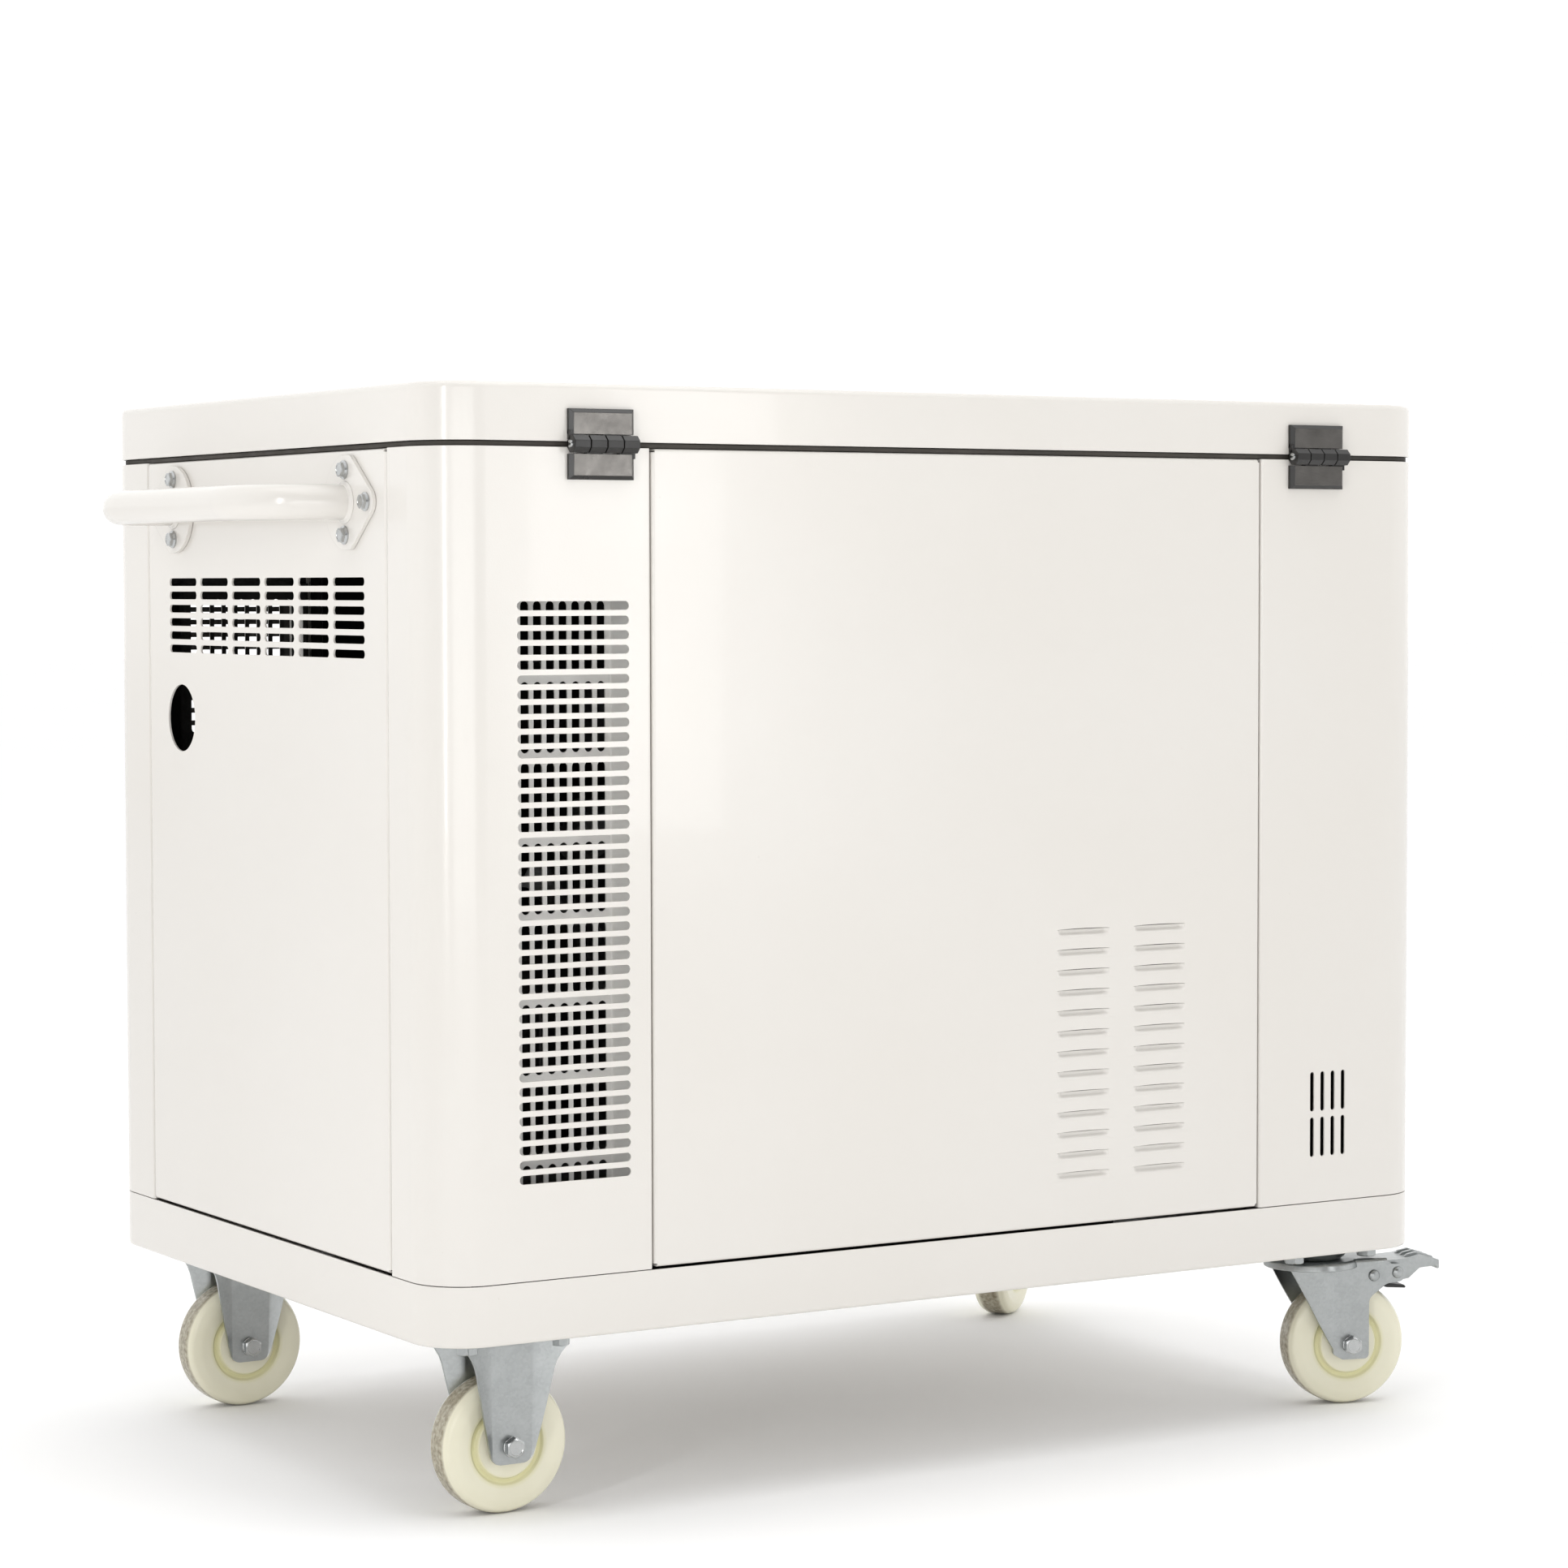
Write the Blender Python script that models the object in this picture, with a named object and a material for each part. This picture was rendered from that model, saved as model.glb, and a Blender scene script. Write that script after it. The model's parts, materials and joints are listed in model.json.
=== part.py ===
"""Enclosed generator set on four casters.

Metres, +Z up. +X is the length, +Y is the side with the controls, and the origin is on the floor under
the middle. The cabinet is folded sheet metal: a base tray, four corner posts, four panels and a lid hinged
on the -Y side.
"""

import math

import bmesh
import bpy
from mathutils import Matrix, Vector

# Cabinet
LENGTH = 1.105
WIDTH = 0.736
CORNER = 0.052
BASE_BOTTOM = 0.165
BASE_TOP = 0.219
BODY_BOTTOM = 0.2198
BODY_TOP = 0.949
LID_BOTTOM = 0.954
LID_TOP = 1.005
LID_EDGE = 0.006
SHEET = 0.002
FLANGE = 0.012
FOLD = 0.003
BEND_STEP = 30.0
SEAM = 0.0015
GAP = 0.0003
HALF_L = LENGTH / 2
HALF_W = WIDTH / 2
SEAM_REAR_LEFT = -HALF_L + 0.215
SEAM_REAR_RIGHT = -HALF_L + 0.8925
SEAM_END_REAR = -HALF_W + 0.092
SEAM_END_FRONT = -HALF_W + 0.628

# Openings in the sheets
GRILLE_SLOTS = 40
GRILLE_TOP = BASE_BOTTOM + 0.6457
GRILLE_PITCH = 0.01286
GRILLE_FROM = -HALF_L + 0.081
GRILLE_TO = -HALF_L + 0.192
GRILLE_SLOT = 0.0078
BAFFLE_START = 0.0024
BAFFLE_DEPTH = 0.045
BAFFLE_SHEET = 0.0015
BAFFLE_BEND = 0.002
BAFFLE_FROM = -HALF_L + 0.062
BAFFLE_TO = -HALF_L + 0.1975
BAFFLE_LAST = -HALF_L + 0.1876
BAFFLE_COLUMNS = 10
BAFFLE_ROWS = 8
BAFFLE_PITCH = 0.0128
BAFFLE_SLOT = 0.0083
BAFFLE_SLOT_LENGTH = 0.063
BAFFLE_STEP = 0.0715
BAFFLE_RISE = -0.0274
LOUVRE_ROWS = 13
LOUVRE_TOP = BASE_BOTTOM + 0.3374
LOUVRE_PITCH = 0.01927
LOUVRE_LENGTH = 0.061
LOUVRE_SLIT = 0.0024
LOUVRE_COLUMNS = (-HALF_L + 0.683, -HALF_L + 0.772)
DRAIN_COLUMNS = 4
DRAIN_FIRST = -HALF_L + 0.9588
DRAIN_PITCH = 0.0128
DRAIN_SLOT = 0.005
DRAIN_LENGTH = 0.039
DRAIN_ROWS = (BASE_BOTTOM + 0.1642, BASE_BOTTOM + 0.1193)
END_SLOT_COLUMNS = 6
END_SLOT_ROWS = 6
END_SLOT_FIRST = -HALF_W + 0.1691
END_SLOT_STEP = 0.0748
END_SLOT_TOP = BASE_BOTTOM + 0.6671
END_SLOT_PITCH = 0.0129
END_SLOT_LENGTH = 0.0655
END_SLOT = 0.0075
PORT = (-HALF_W + 0.5484, BASE_BOTTOM + 0.5354)
PORT_RADIUS = 0.0325
PORT_SIDES = 24

# Lid hinges
HINGE_X = (-HALF_L + 0.163, -HALF_L + 0.958)
HINGE_WIDTH = 0.065
HINGE_REACH = 0.031
HINGE_AXIS = (-HALF_W - 0.008, BASE_BOTTOM + 0.7866)
LEAF = 0.0065
HINGE_RELIEF = 0.0078
HINGE_CLEARANCE = 0.0006
KNUCKLE = 0.00704
PIN = 0.004
PIN_END = 0.002

# Handles
HANDLE_Z = BASE_BOTTOM + 0.7375
HANDLE_LEGS = (-HALF_W + 0.1665, -HALF_W + 0.5565)
HANDLE_REACH = 0.084
HANDLE_TUBE = 0.016
HANDLE_BEND = 0.076
HANDLE_PLATE = 0.004
HANDLE_PLATE_ARCS = (
    (0.0, 0.0, 0.042, 90.0, 270.0),
    (0.008, -0.034, 0.008, 270.0, 308.0),
    (0.0436, 0.0, 0.013, -52.0, 52.0),
    (0.008, 0.034, 0.008, 52.0, 90.0),
)
HANDLE_SIDES = 12

# Casters
WHEEL_RADIUS = 0.0625
WHEEL_SIDES = 24
WHEEL_TREAD = 0.036
WHEEL_HUB = 0.044
WHEEL_DISC = 0.037
WHEEL_GROOVE = 0.030
WHEEL_SHOULDER = (0.0045, 0.008)
AXLE_Z = WHEEL_RADIUS
AXLE_BOLT = 0.006
FORK_SHEET = 0.003
FORK_INSIDE = 0.048
PLATE = 0.004
PLATE_HALF = (0.0525, 0.042)
FIXED_X = -HALF_L + 0.101
CASTER_Y = HALF_W - 0.083
SWIVEL_X = HALF_L - 0.081
SWIVEL_TRAIL = 0.033
SWIVEL_TURNS = {"rear": -16.6, "front": 38.0}
SWIVEL_RACE = 0.012
SWIVEL_HEAD = 0.044
PEDAL_PIVOT = (0.066, 0.128)
PEDAL_HALF = 0.018

# Inside
CRANK_Z = 0.400
ENGINE_BOTTOM = 0.2391
CRANKCASE_FROM = -0.26
CRANKCASE_TO = 0.0
CYLINDER_X = (-0.185, -0.075)
CYLINDER_FOOT = (0.0975, 0.4775)
FIN_PITCH = 0.026
RAIL_Y = 0.15
RAIL_SIDE = 0.04
RAIL_X = (-0.40, 0.31)
MOUNT_X = (-0.2, 0.2)
TANK_CENTRE = (0.33, -0.10)
TANK_TOP = 0.88
CLEANER_FOOT = (-0.13, -0.02, 0.66)

# Controls
CONTROL_CENTRE = (-0.16, 0.78)
CONTROL_WINDOW = (0.30, 0.20)
CONTROL_FACE = HALF_W - SHEET - GAP
KEY_OFFSET = (0.11, 0.055)
MAIN_OFFSET = (0.04, 0.045)
STOP_OFFSET = (-0.05, 0.045)
SOCKET_OFFSET = (0.04, -0.045)
LATCH_X = 0.30
LATCH_Z = (LID_BOTTOM + LID_TOP) / 2
PROUD = 0.0145

WHITE = ((0.86, 0.85, 0.82), 0.28, 0.0)
ZINC = ((0.58, 0.59, 0.60), 0.38, 0.9)
BLACK = ((0.02, 0.02, 0.02), 0.4, 0.0)
RUBBER = ((0.03, 0.03, 0.03), 0.8, 0.0)
NYLON = ((0.86, 0.83, 0.66), 0.4, 0.0)
CAST = ((0.42, 0.43, 0.44), 0.55, 0.8)
RED = ((0.6, 0.03, 0.03), 0.35, 0.0)


def paint(name, look):
    colour, roughness, metallic = look
    material = bpy.data.materials.new(name)
    material.use_nodes = True
    shader = material.node_tree.nodes["Principled BSDF"]
    shader.inputs["Base Color"].default_value = (*colour, 1.0)
    shader.inputs["Roughness"].default_value = roughness
    shader.inputs["Metallic"].default_value = metallic
    return material


def add_object(name, source, look=None, pivot=(0.0, 0.0, 0.0), place=None, spin=0.0):
    """Makes an object with its origin at pivot, moves it to place and turns it about Z."""
    bmesh.ops.recalc_face_normals(source, faces=source.faces[:])
    bmesh.ops.translate(source, vec=-Vector(pivot), verts=source.verts[:])
    mesh = bpy.data.meshes.new(name)
    source.to_mesh(mesh)
    source.free()
    mesh.shade_smooth()
    mesh.set_sharp_from_angle(angle=math.radians(32.0))
    item = bpy.data.objects.new(name, mesh)
    item.location = pivot if place is None else place
    item.rotation_euler[2] = math.radians(spin)
    bpy.context.scene.collection.objects.link(item)
    if look:
        mesh.materials.append(paint(name, look))
    return item


def shape_with(item, operation, source, place=(0.0, 0.0, 0.0), spin=0.0):
    """Adds or cuts away one shape, which stays in the file as a hidden guide."""
    tool = add_object(f"{item.name}_guide_{len(item.modifiers)}", source, place=place, spin=spin)
    tool.hide_render = True
    tool.display_type = "WIRE"
    modifier = item.modifiers.new(tool.name, "BOOLEAN")
    modifier.operation = operation
    modifier.object = tool


def loft(rings, closed=False):
    """Joins rings of equal length into one skin, closed onto the first ring or by a flat face at each end."""
    source = bmesh.new()
    rows = [[source.verts.new(point) for point in ring] for ring in rings]
    count = len(rows[0])
    following = rows[1:] + rows[:1] if closed else rows[1:]
    for low, high in zip(rows, following):
        for i in range(count):
            j = (i + 1) % count
            source.faces.new((low[i], low[j], high[j], high[i]))
    if not closed:
        source.faces.new(list(reversed(rows[0])))
        source.faces.new(rows[-1])
    return source


def turned(profile, centre, axis, sides):
    """Spins a closed outline of (radius, distance) points round an axis; the middle stays open."""
    rings = []
    for radius, distance in profile:
        rings.append(ring(Vector(centre) + Vector(axis) * distance, axis, radius, sides))
    return loft(rings, closed=True)


def ring(centre, axis, radius, sides, six_sided=False):
    """Gives one ring of points round an axis; six_sided flattens a twelve-point ring into a hexagon."""
    turn = Vector((0.0, 0.0, 1.0)).rotation_difference(Vector(axis)).to_matrix()
    points = []
    for k in range(sides):
        angle = 2 * math.pi * (k + 0.5 * (not six_sided)) / sides
        reach = radius
        if six_sided and k % 2:
            reach = radius * math.cos(math.pi / 6)
        points.append(Vector(centre) + turn @ Vector((reach * math.cos(angle), reach * math.sin(angle), 0.0)))
    return points


def stack(centre, axis, steps, sides=12):
    """Lofts rings along an axis from (distance, radius) steps, or (distance, radius, True) for a hexagon."""
    rings = []
    for step in steps:
        middle = Vector(centre) + Vector(axis) * step[0]
        rings.append(ring(middle, axis, step[1], sides, len(step) == 3))
    return loft(rings)


def block(low, high):
    source = bmesh.new()
    bmesh.ops.create_cube(source, size=1.0)
    low, high = Vector(low), Vector(high)
    for vert in source.verts:
        vert.co = Vector(((low[i] + high[i]) / 2 + vert.co[i] * (high[i] - low[i]) for i in range(3)))
    return source


def prism(outline, direction, length):
    """Extrudes a flat outline of 3-D points by a length along a direction."""
    shift = Vector(direction) * length
    return loft([[Vector(p) for p in outline], [Vector(p) + shift for p in outline]])


def rounded_rectangle(half_x, half_y, radius, z, per_corner=5):
    points = []
    for corner, (sx, sy) in enumerate(((1, 1), (-1, 1), (-1, -1), (1, -1))):
        for k in range(per_corner + 1):
            angle = math.radians(90.0 * (corner + k / per_corner))
            x = sx * (half_x - radius) + radius * math.cos(angle)
            y = sy * (half_y - radius) + radius * math.sin(angle)
            points.append(Vector((x, y, z)))
    return points


def cabinet_ring(inset, z):
    return rounded_rectangle(HALF_L - inset, HALF_W - inset, CORNER - inset, z)


def route(start, heading, pieces):
    """Follows (length, turn in degrees) pieces.

    Gives a function for the point and left-hand normal at a length, and the lengths where the pieces break.
    """
    spans = []
    point = Vector(start)
    angle = math.radians(heading)
    travelled = 0.0
    breaks = [0.0]
    for length, turn in pieces:
        turn = math.radians(turn)
        spans.append((travelled, length, point.copy(), angle, turn))
        steps = max(1, round(abs(turn) / math.radians(BEND_STEP)))
        breaks += [travelled + length * (k + 1) / steps for k in range(steps)]
        if turn:
            radius = length / turn
            move = (math.sin(angle + turn) - math.sin(angle), math.cos(angle) - math.cos(angle + turn))
            point = point + radius * Vector(move)
        else:
            point = point + length * Vector((math.cos(angle), math.sin(angle)))
        angle += turn
        travelled += length

    def at(distance):
        began, length, origin, start_angle, turn = [s for s in spans if s[0] <= distance + 1e-9][-1]
        here = start_angle
        if turn:
            radius = length / turn
            here = start_angle + (distance - began) / radius
            move = (math.sin(here) - math.sin(start_angle), math.cos(start_angle) - math.cos(here))
            place = origin + radius * Vector(move)
        else:
            place = origin + (distance - began) * Vector((math.cos(here), math.sin(here)))
        return place, Vector((-math.sin(here), math.cos(here)))

    return at, breaks


def bend(radius, degrees=90.0):
    return radius * math.radians(abs(degrees)), degrees


def slot(centre, length, width, upright=False, per_end=2):
    """Gives the outline of a slot with round ends, lying flat or upright."""
    reach = (length - width) / 2
    points = []
    for end in (0, 1):
        for k in range(per_end + 1):
            angle = math.pi * (k / per_end + end) - math.pi / 2
            x = reach * (1 - 2 * end) + width / 2 * math.cos(angle)
            y = width / 2 * math.sin(angle)
            points.append((centre[0] - y, centre[1] + x) if upright else (centre[0] + x, centre[1] + y))
    return points


def blank(breaks_u, breaks_v, skip, cell, holes):
    """Lays out a flat sheet as a grid of cells, with corners left out and holes in one cell."""
    flat = bmesh.new()
    grid = {}

    def vertex(u, v):
        key = (round(u, 7), round(v, 7))
        if key not in grid:
            grid[key] = flat.verts.new((u, v, 0.0))
        return grid[key]

    for i, (u0, u1) in enumerate(zip(breaks_u, breaks_u[1:])):
        for j, (v0, v1) in enumerate(zip(breaks_v, breaks_v[1:])):
            if skip(u0, u1, v0, v1):
                continue
            corners = [vertex(u0, v0), vertex(u1, v0), vertex(u1, v1), vertex(u0, v1)]
            if (i, j) != cell or not holes:
                flat.faces.new(corners)
                continue
            loops = [corners] + [[flat.verts.new((x, y, 0.0)) for x, y in hole] for hole in holes]
            edges = []
            for loop in loops:
                for a, b in zip(loop, loop[1:] + loop[:1]):
                    edges.append(flat.edges.get((a, b)) or flat.edges.new((a, b)))
            bmesh.ops.triangle_fill(flat, edges=edges, use_beauty=True, normal=(0.0, 0.0, 1.0))
    flat.normal_update()
    for face in flat.faces:
        if face.normal.z < 0:
            face.normal_flip()
    return flat


def folded(flat, at_u, at_v, wall, thickness=SHEET):
    """Folds a flat sheet along both routes and gives it its thickness, as one closed skin."""
    source = bmesh.new()
    outer, inner = {}, {}
    for vert in flat.verts:
        place_u, normal_u = at_u(vert.co.x)
        place_v, normal_v = at_v(vert.co.y)
        for table, depth in ((outer, 0.0), (inner, thickness)):
            along = place_u.x + depth * normal_u.x
            inward = place_u.y + place_v.y + depth * normal_u.y * normal_v.y
            up = place_v.x + depth * normal_v.x
            table[vert] = source.verts.new(wall @ Vector((along, inward, up)))
    for face in flat.faces:
        source.faces.new([outer[v] for v in face.verts])
        source.faces.new([inner[v] for v in reversed(face.verts)])
    for edge in flat.edges:
        if len(edge.link_faces) == 1:
            a, b = edge.verts
            source.faces.new((outer[a], outer[b], inner[b], inner[a]))
    flat.free()
    return source


def wall_frame(degrees, half_depth):
    return Matrix.Rotation(math.radians(degrees), 4, "Z") @ Matrix.Translation((0.0, -half_depth, 0.0))


def panel(name, side, half_depth, span, z_span, hole_list):
    """Makes a flat panel with four folded edges. span is its stretch along its wall, as seen from inside."""
    low, high = span
    z_low, z_high = z_span
    edge = [(FLANGE, 0.0), bend(FOLD)]
    across = [*edge, (high - low - 2 * FOLD, 0.0), *reversed(edge)]
    upward = [*edge, (z_high - z_low - 2 * FOLD, 0.0), *reversed(edge)]
    at_u, breaks_u = route((low, FLANGE + FOLD), -90.0, across)
    at_v, breaks_v = route((z_low, FLANGE + FOLD), -90.0, upward)
    first = FLANGE + FOLD * math.pi / 2
    last_u, last_v = breaks_u[-1] - first, breaks_v[-1] - first

    def corner(u0, u1, v0, v1):
        return (u0 < first - 1e-6 or u1 > last_u + 1e-6) and (v0 < first - 1e-6 or v1 > last_v + 1e-6)

    middle = len(breaks_u) // 2 - 1
    shift = Vector((first - low - FOLD, first - z_low - FOLD))
    holes = [[(x + shift.x, z + shift.y) for x, z in hole] for hole in hole_list]
    flat = blank(breaks_u, breaks_v, corner, (middle, middle), holes)
    add_object(name, folded(flat, at_u, at_v, wall_frame(side, half_depth)), WHITE)


def post(name, side, half_depth, before, after, first_face=(), second_face=()):
    """Makes a corner post: folded edge, first face, round corner, second face, folded edge.

    before and after are the widths of the two faces, from the cabinet's outer corner. Each list holds the
    holes of one face, at places along its own wall.
    """
    pieces = [
        (FLANGE, 0.0),
        bend(FOLD),
        (before - CORNER - FOLD, 0.0),
        bend(CORNER),
        (after - CORNER - FOLD, 0.0),
        bend(FOLD),
        (FLANGE, 0.0),
    ]
    other_half = HALF_L + HALF_W - half_depth
    at_u, breaks_u = route((-other_half + FLANGE + FOLD, before), 180.0, pieces)
    at_v, breaks_v = route((BODY_BOTTOM, 0.0), 0.0, [(BODY_TOP - BODY_BOTTOM, 0.0)])
    fold_steps = round(90.0 / BEND_STEP)
    if first_face:
        cell = 1 + fold_steps
        start = breaks_u[cell + 1] - (half_depth - CORNER)
        hole_list = first_face
    else:
        cell = len(breaks_u) - 3 - fold_steps
        start = breaks_u[cell] - (-other_half + CORNER)
        hole_list = second_face
    holes = [[(x + start, z - BODY_BOTTOM) for x, z in hole] for hole in hole_list]
    flat = blank(breaks_u, breaks_v, lambda *edges: False, (cell, 0), holes)
    add_object(name, folded(flat, at_u, at_v, wall_frame(side, half_depth)), WHITE)


def frame_ring(outer_inset, inner_inset, z_low, z_high):
    corners = ((outer_inset, z_low), (outer_inset, z_high), (inner_inset, z_high), (inner_inset, z_low))
    return loft([cabinet_ring(inset, z) for inset, z in corners], closed=True)


def make_shells():
    base = [
        cabinet_ring(0.0025, BASE_BOTTOM + 0.003),
        cabinet_ring(0.0025, BASE_TOP),
        cabinet_ring(0.0, BASE_TOP),
        cabinet_ring(0.0, BASE_BOTTOM + 0.004),
        cabinet_ring(0.004, BASE_BOTTOM),
    ]
    add_object("base_tray", loft(base), WHITE)
    rings = [
        cabinet_ring(SHEET, LID_TOP - SHEET),
        cabinet_ring(SHEET, LID_BOTTOM),
        cabinet_ring(0.0, LID_BOTTOM),
    ]
    for degrees in (0, 30, 60, 90):
        angle = math.radians(degrees)
        inset = LID_EDGE * (1 - math.cos(angle))
        rings.append(cabinet_ring(inset, LID_TOP - LID_EDGE * (1 - math.sin(angle))))
    add_object("lid", loft(rings), WHITE, pivot=(0.0, *HINGE_AXIS))
    add_object("lid_seal", frame_ring(0.0035, 0.0145, BODY_TOP + GAP, LID_BOTTOM - GAP), RUBBER)


def make_posts():
    middle = (GRILLE_FROM + GRILLE_TO) / 2
    heights = [GRILLE_TOP - GRILLE_PITCH * k for k in range(GRILLE_SLOTS)]
    grille = [slot((middle, z), GRILLE_TO - GRILLE_FROM, GRILLE_SLOT) for z in heights]
    mirrored_grille = [slot((-middle, z), GRILLE_TO - GRILLE_FROM, GRILLE_SLOT) for z in heights]
    drains = [slot((DRAIN_FIRST + DRAIN_PITCH * k, z), DRAIN_LENGTH, DRAIN_SLOT, upright=True)
              for k in range(DRAIN_COLUMNS) for z in DRAIN_ROWS]
    at_left = SEAM_REAR_LEFT + HALF_L - SEAM / 2
    at_right = HALF_L - SEAM_REAR_RIGHT - SEAM / 2
    at_rear = SEAM_END_REAR + HALF_W - SEAM / 2
    at_front = HALF_W - SEAM_END_FRONT - SEAM / 2
    post("post_rear_left", 0.0, HALF_W, at_rear, at_left, second_face=grille)
    post("post_rear_right", 90.0, HALF_L, at_right, at_rear, first_face=drains)
    post("post_front_right", 180.0, HALF_W, at_front, at_right)
    post("post_front_left", -90.0, HALF_L, at_left, at_front, first_face=mirrored_grille)


def make_panels():
    z_range = (BODY_BOTTOM + SEAM, BODY_TOP - GAP)
    half_seam = SEAM / 2
    left, right = SEAM_REAR_LEFT + half_seam, SEAM_REAR_RIGHT - half_seam
    rear, front = SEAM_END_REAR + half_seam, SEAM_END_FRONT - half_seam
    louvres = [slot((x, LOUVRE_TOP - LOUVRE_PITCH * k), LOUVRE_LENGTH, LOUVRE_SLIT, per_end=1)
               for x in LOUVRE_COLUMNS for k in range(LOUVRE_ROWS)]
    rows = [END_SLOT_TOP - END_SLOT_PITCH * k for k in range(END_SLOT_ROWS)]
    columns = [-END_SLOT_FIRST - END_SLOT_STEP * k for k in range(END_SLOT_COLUMNS)]
    slots = [slot((x, z), END_SLOT_LENGTH, END_SLOT) for x in columns for z in rows]
    outlets = [slot((END_SLOT_STEP * k, z), END_SLOT_LENGTH, END_SLOT) for k in (-1, 0, 1) for z in rows]
    steps = [2 * math.pi * k / PORT_SIDES for k in range(PORT_SIDES)]
    port = [(-PORT[0] + PORT_RADIUS * math.cos(a), PORT[1] + PORT_RADIUS * math.sin(a)) for a in steps]
    x, z = CONTROL_CENTRE
    half_x, half_z = CONTROL_WINDOW[0] / 2, CONTROL_WINDOW[1] / 2
    corners = ((-1, -1), (1, -1), (1, 1), (-1, 1))
    window = [(-x + sign_x * half_x, z + sign_z * half_z) for sign_x, sign_z in corners]
    panel("rear_panel", 0.0, HALF_W, (left, right), z_range, louvres)
    panel("front_panel", 180.0, HALF_W, (-right, -left), z_range, [window])
    panel("left_end_panel", -90.0, HALF_L, (-front, -rear), z_range, [*slots, port])
    panel("right_end_panel", 90.0, HALF_L, (rear, front), z_range, outlets)


def make_baffle(name, side, low, high):
    """Makes the channel behind a grille: a perforated face, set back, with a wall on each side."""
    wall_depth = BAFFLE_DEPTH - BAFFLE_START - BAFFLE_BEND
    pieces = [
        (wall_depth, 0.0),
        bend(BAFFLE_BEND, -90.0),
        (high - low - 2 * BAFFLE_BEND, 0.0),
        bend(BAFFLE_BEND, -90.0),
        (wall_depth, 0.0),
    ]
    at_u, breaks_u = route((low, BAFFLE_START), 90.0, pieces)
    z_low = BODY_BOTTOM + 0.02
    z_high = GRILLE_TOP + 0.02
    at_v, breaks_v = route((z_low, 0.0), 0.0, [(z_high - z_low, 0.0)])
    cell = len(breaks_u) // 2 - 1
    start = breaks_u[cell] - low - BAFFLE_BEND
    holes = []
    for i in range(BAFFLE_COLUMNS):
        for j in range(BAFFLE_ROWS):
            place = BAFFLE_LAST - BAFFLE_PITCH * i
            u = start + (-place if side else place)
            v = GRILLE_TOP + BAFFLE_RISE - BAFFLE_STEP * j - z_low
            holes.append(slot((u, v), BAFFLE_SLOT_LENGTH, BAFFLE_SLOT, upright=True, per_end=1))
    flat = blank(breaks_u, breaks_v, lambda *edges: False, (cell, 0), holes)
    add_object(name, folded(flat, at_u, at_v, wall_frame(side, HALF_W), BAFFLE_SHEET), WHITE)


def make_hinge(name, x):
    """Makes two leaves with two knuckles each, taking turns along one pin."""
    axis_y, axis_z = HINGE_AXIS
    start = x - HINGE_WIDTH / 2
    knuckle = (HINGE_WIDTH - 3 * HINGE_CLEARANCE) / 4
    back = -HALF_W - GAP
    for leaf, sign, first in (("upper", 1, 0), ("lower", -1, 1)):
        low, high = sorted((axis_z + sign * HINGE_RELIEF, axis_z + sign * HINGE_REACH))
        plate = block((start, back - LEAF, low), (start + HINGE_WIDTH, back, high))
        item = add_object(f"{name}_{leaf}_leaf", plate, BLACK, pivot=(x, axis_y, axis_z))
        for k in (first, first + 2):
            left = start + k * (knuckle + HINGE_CLEARANCE)
            barrel = stack((left, axis_y, axis_z), (1, 0, 0), [(0.0, KNUCKLE), (knuckle, KNUCKLE)], sides=8)
            low, high = sorted((axis_z, axis_z + sign * (HINGE_RELIEF + LEAF / 2)))
            web = block((left, back - LEAF, low), (left + knuckle, axis_y + KNUCKLE * 0.9, high))
            shape_with(item, "UNION", barrel)
            shape_with(item, "UNION", web)
        drill = [(0.0, PIN + GAP), (HINGE_WIDTH + 2 * LEAF, PIN + GAP)]
        shape_with(item, "DIFFERENCE", stack((start - LEAF, axis_y, axis_z), (1, 0, 0), drill))
    ends = [(-PIN_END, PIN * 0.8), (-PIN_END + 0.0006, PIN), (HINGE_WIDTH + PIN_END - 0.0006, PIN),
            (HINGE_WIDTH + PIN_END, PIN * 0.8)]
    pin = stack((start, axis_y, axis_z), (1, 0, 0), ends)
    add_object(f"{name}_pin", pin, ZINC, pivot=(x, axis_y, axis_z))


def make_handle(name, spin):
    """Makes a bent tube welded to two three-cornered plates."""
    near, far = HANDLE_LEGS
    face = -HALF_L - GAP
    pieces = [
        (HANDLE_REACH - HANDLE_BEND - HANDLE_PLATE / 2, 0.0),
        bend(HANDLE_BEND, -90.0),
        (far - near - 2 * HANDLE_BEND, 0.0),
        bend(HANDLE_BEND, -90.0),
        (HANDLE_REACH - HANDLE_BEND - HANDLE_PLATE / 2, 0.0),
    ]
    at, breaks = route((face - HANDLE_PLATE / 2, near), 180.0, pieces)
    rings = []
    for distance in breaks:
        place, normal = at(distance)
        ring_points = []
        for k in range(HANDLE_SIDES):
            angle = 2 * math.pi * k / HANDLE_SIDES
            across = HANDLE_TUBE * math.cos(angle) * normal
            z = HANDLE_Z + HANDLE_TUBE * math.sin(angle)
            ring_points.append(Vector((place.x + across.x, place.y + across.y, z)))
        rings.append(ring_points)
    item = add_object(name, loft(rings), WHITE, spin=spin)
    for leg, outward in ((near, -1), (far, 1)):
        outline = []
        for out, rise, radius, begin, end in HANDLE_PLATE_ARCS:
            for k in range(4):
                angle = math.radians(begin + (end - begin) * k / 3)
                y = leg + outward * (out + radius * math.cos(angle))
                outline.append((face, y, HANDLE_Z + rise + radius * math.sin(angle)))
        unique = [point for k, point in enumerate(outline) if point != outline[k - 1]]
        shape_with(item, "UNION", prism(unique, (-1, 0, 0), HANDLE_PLATE), spin=spin)


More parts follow.
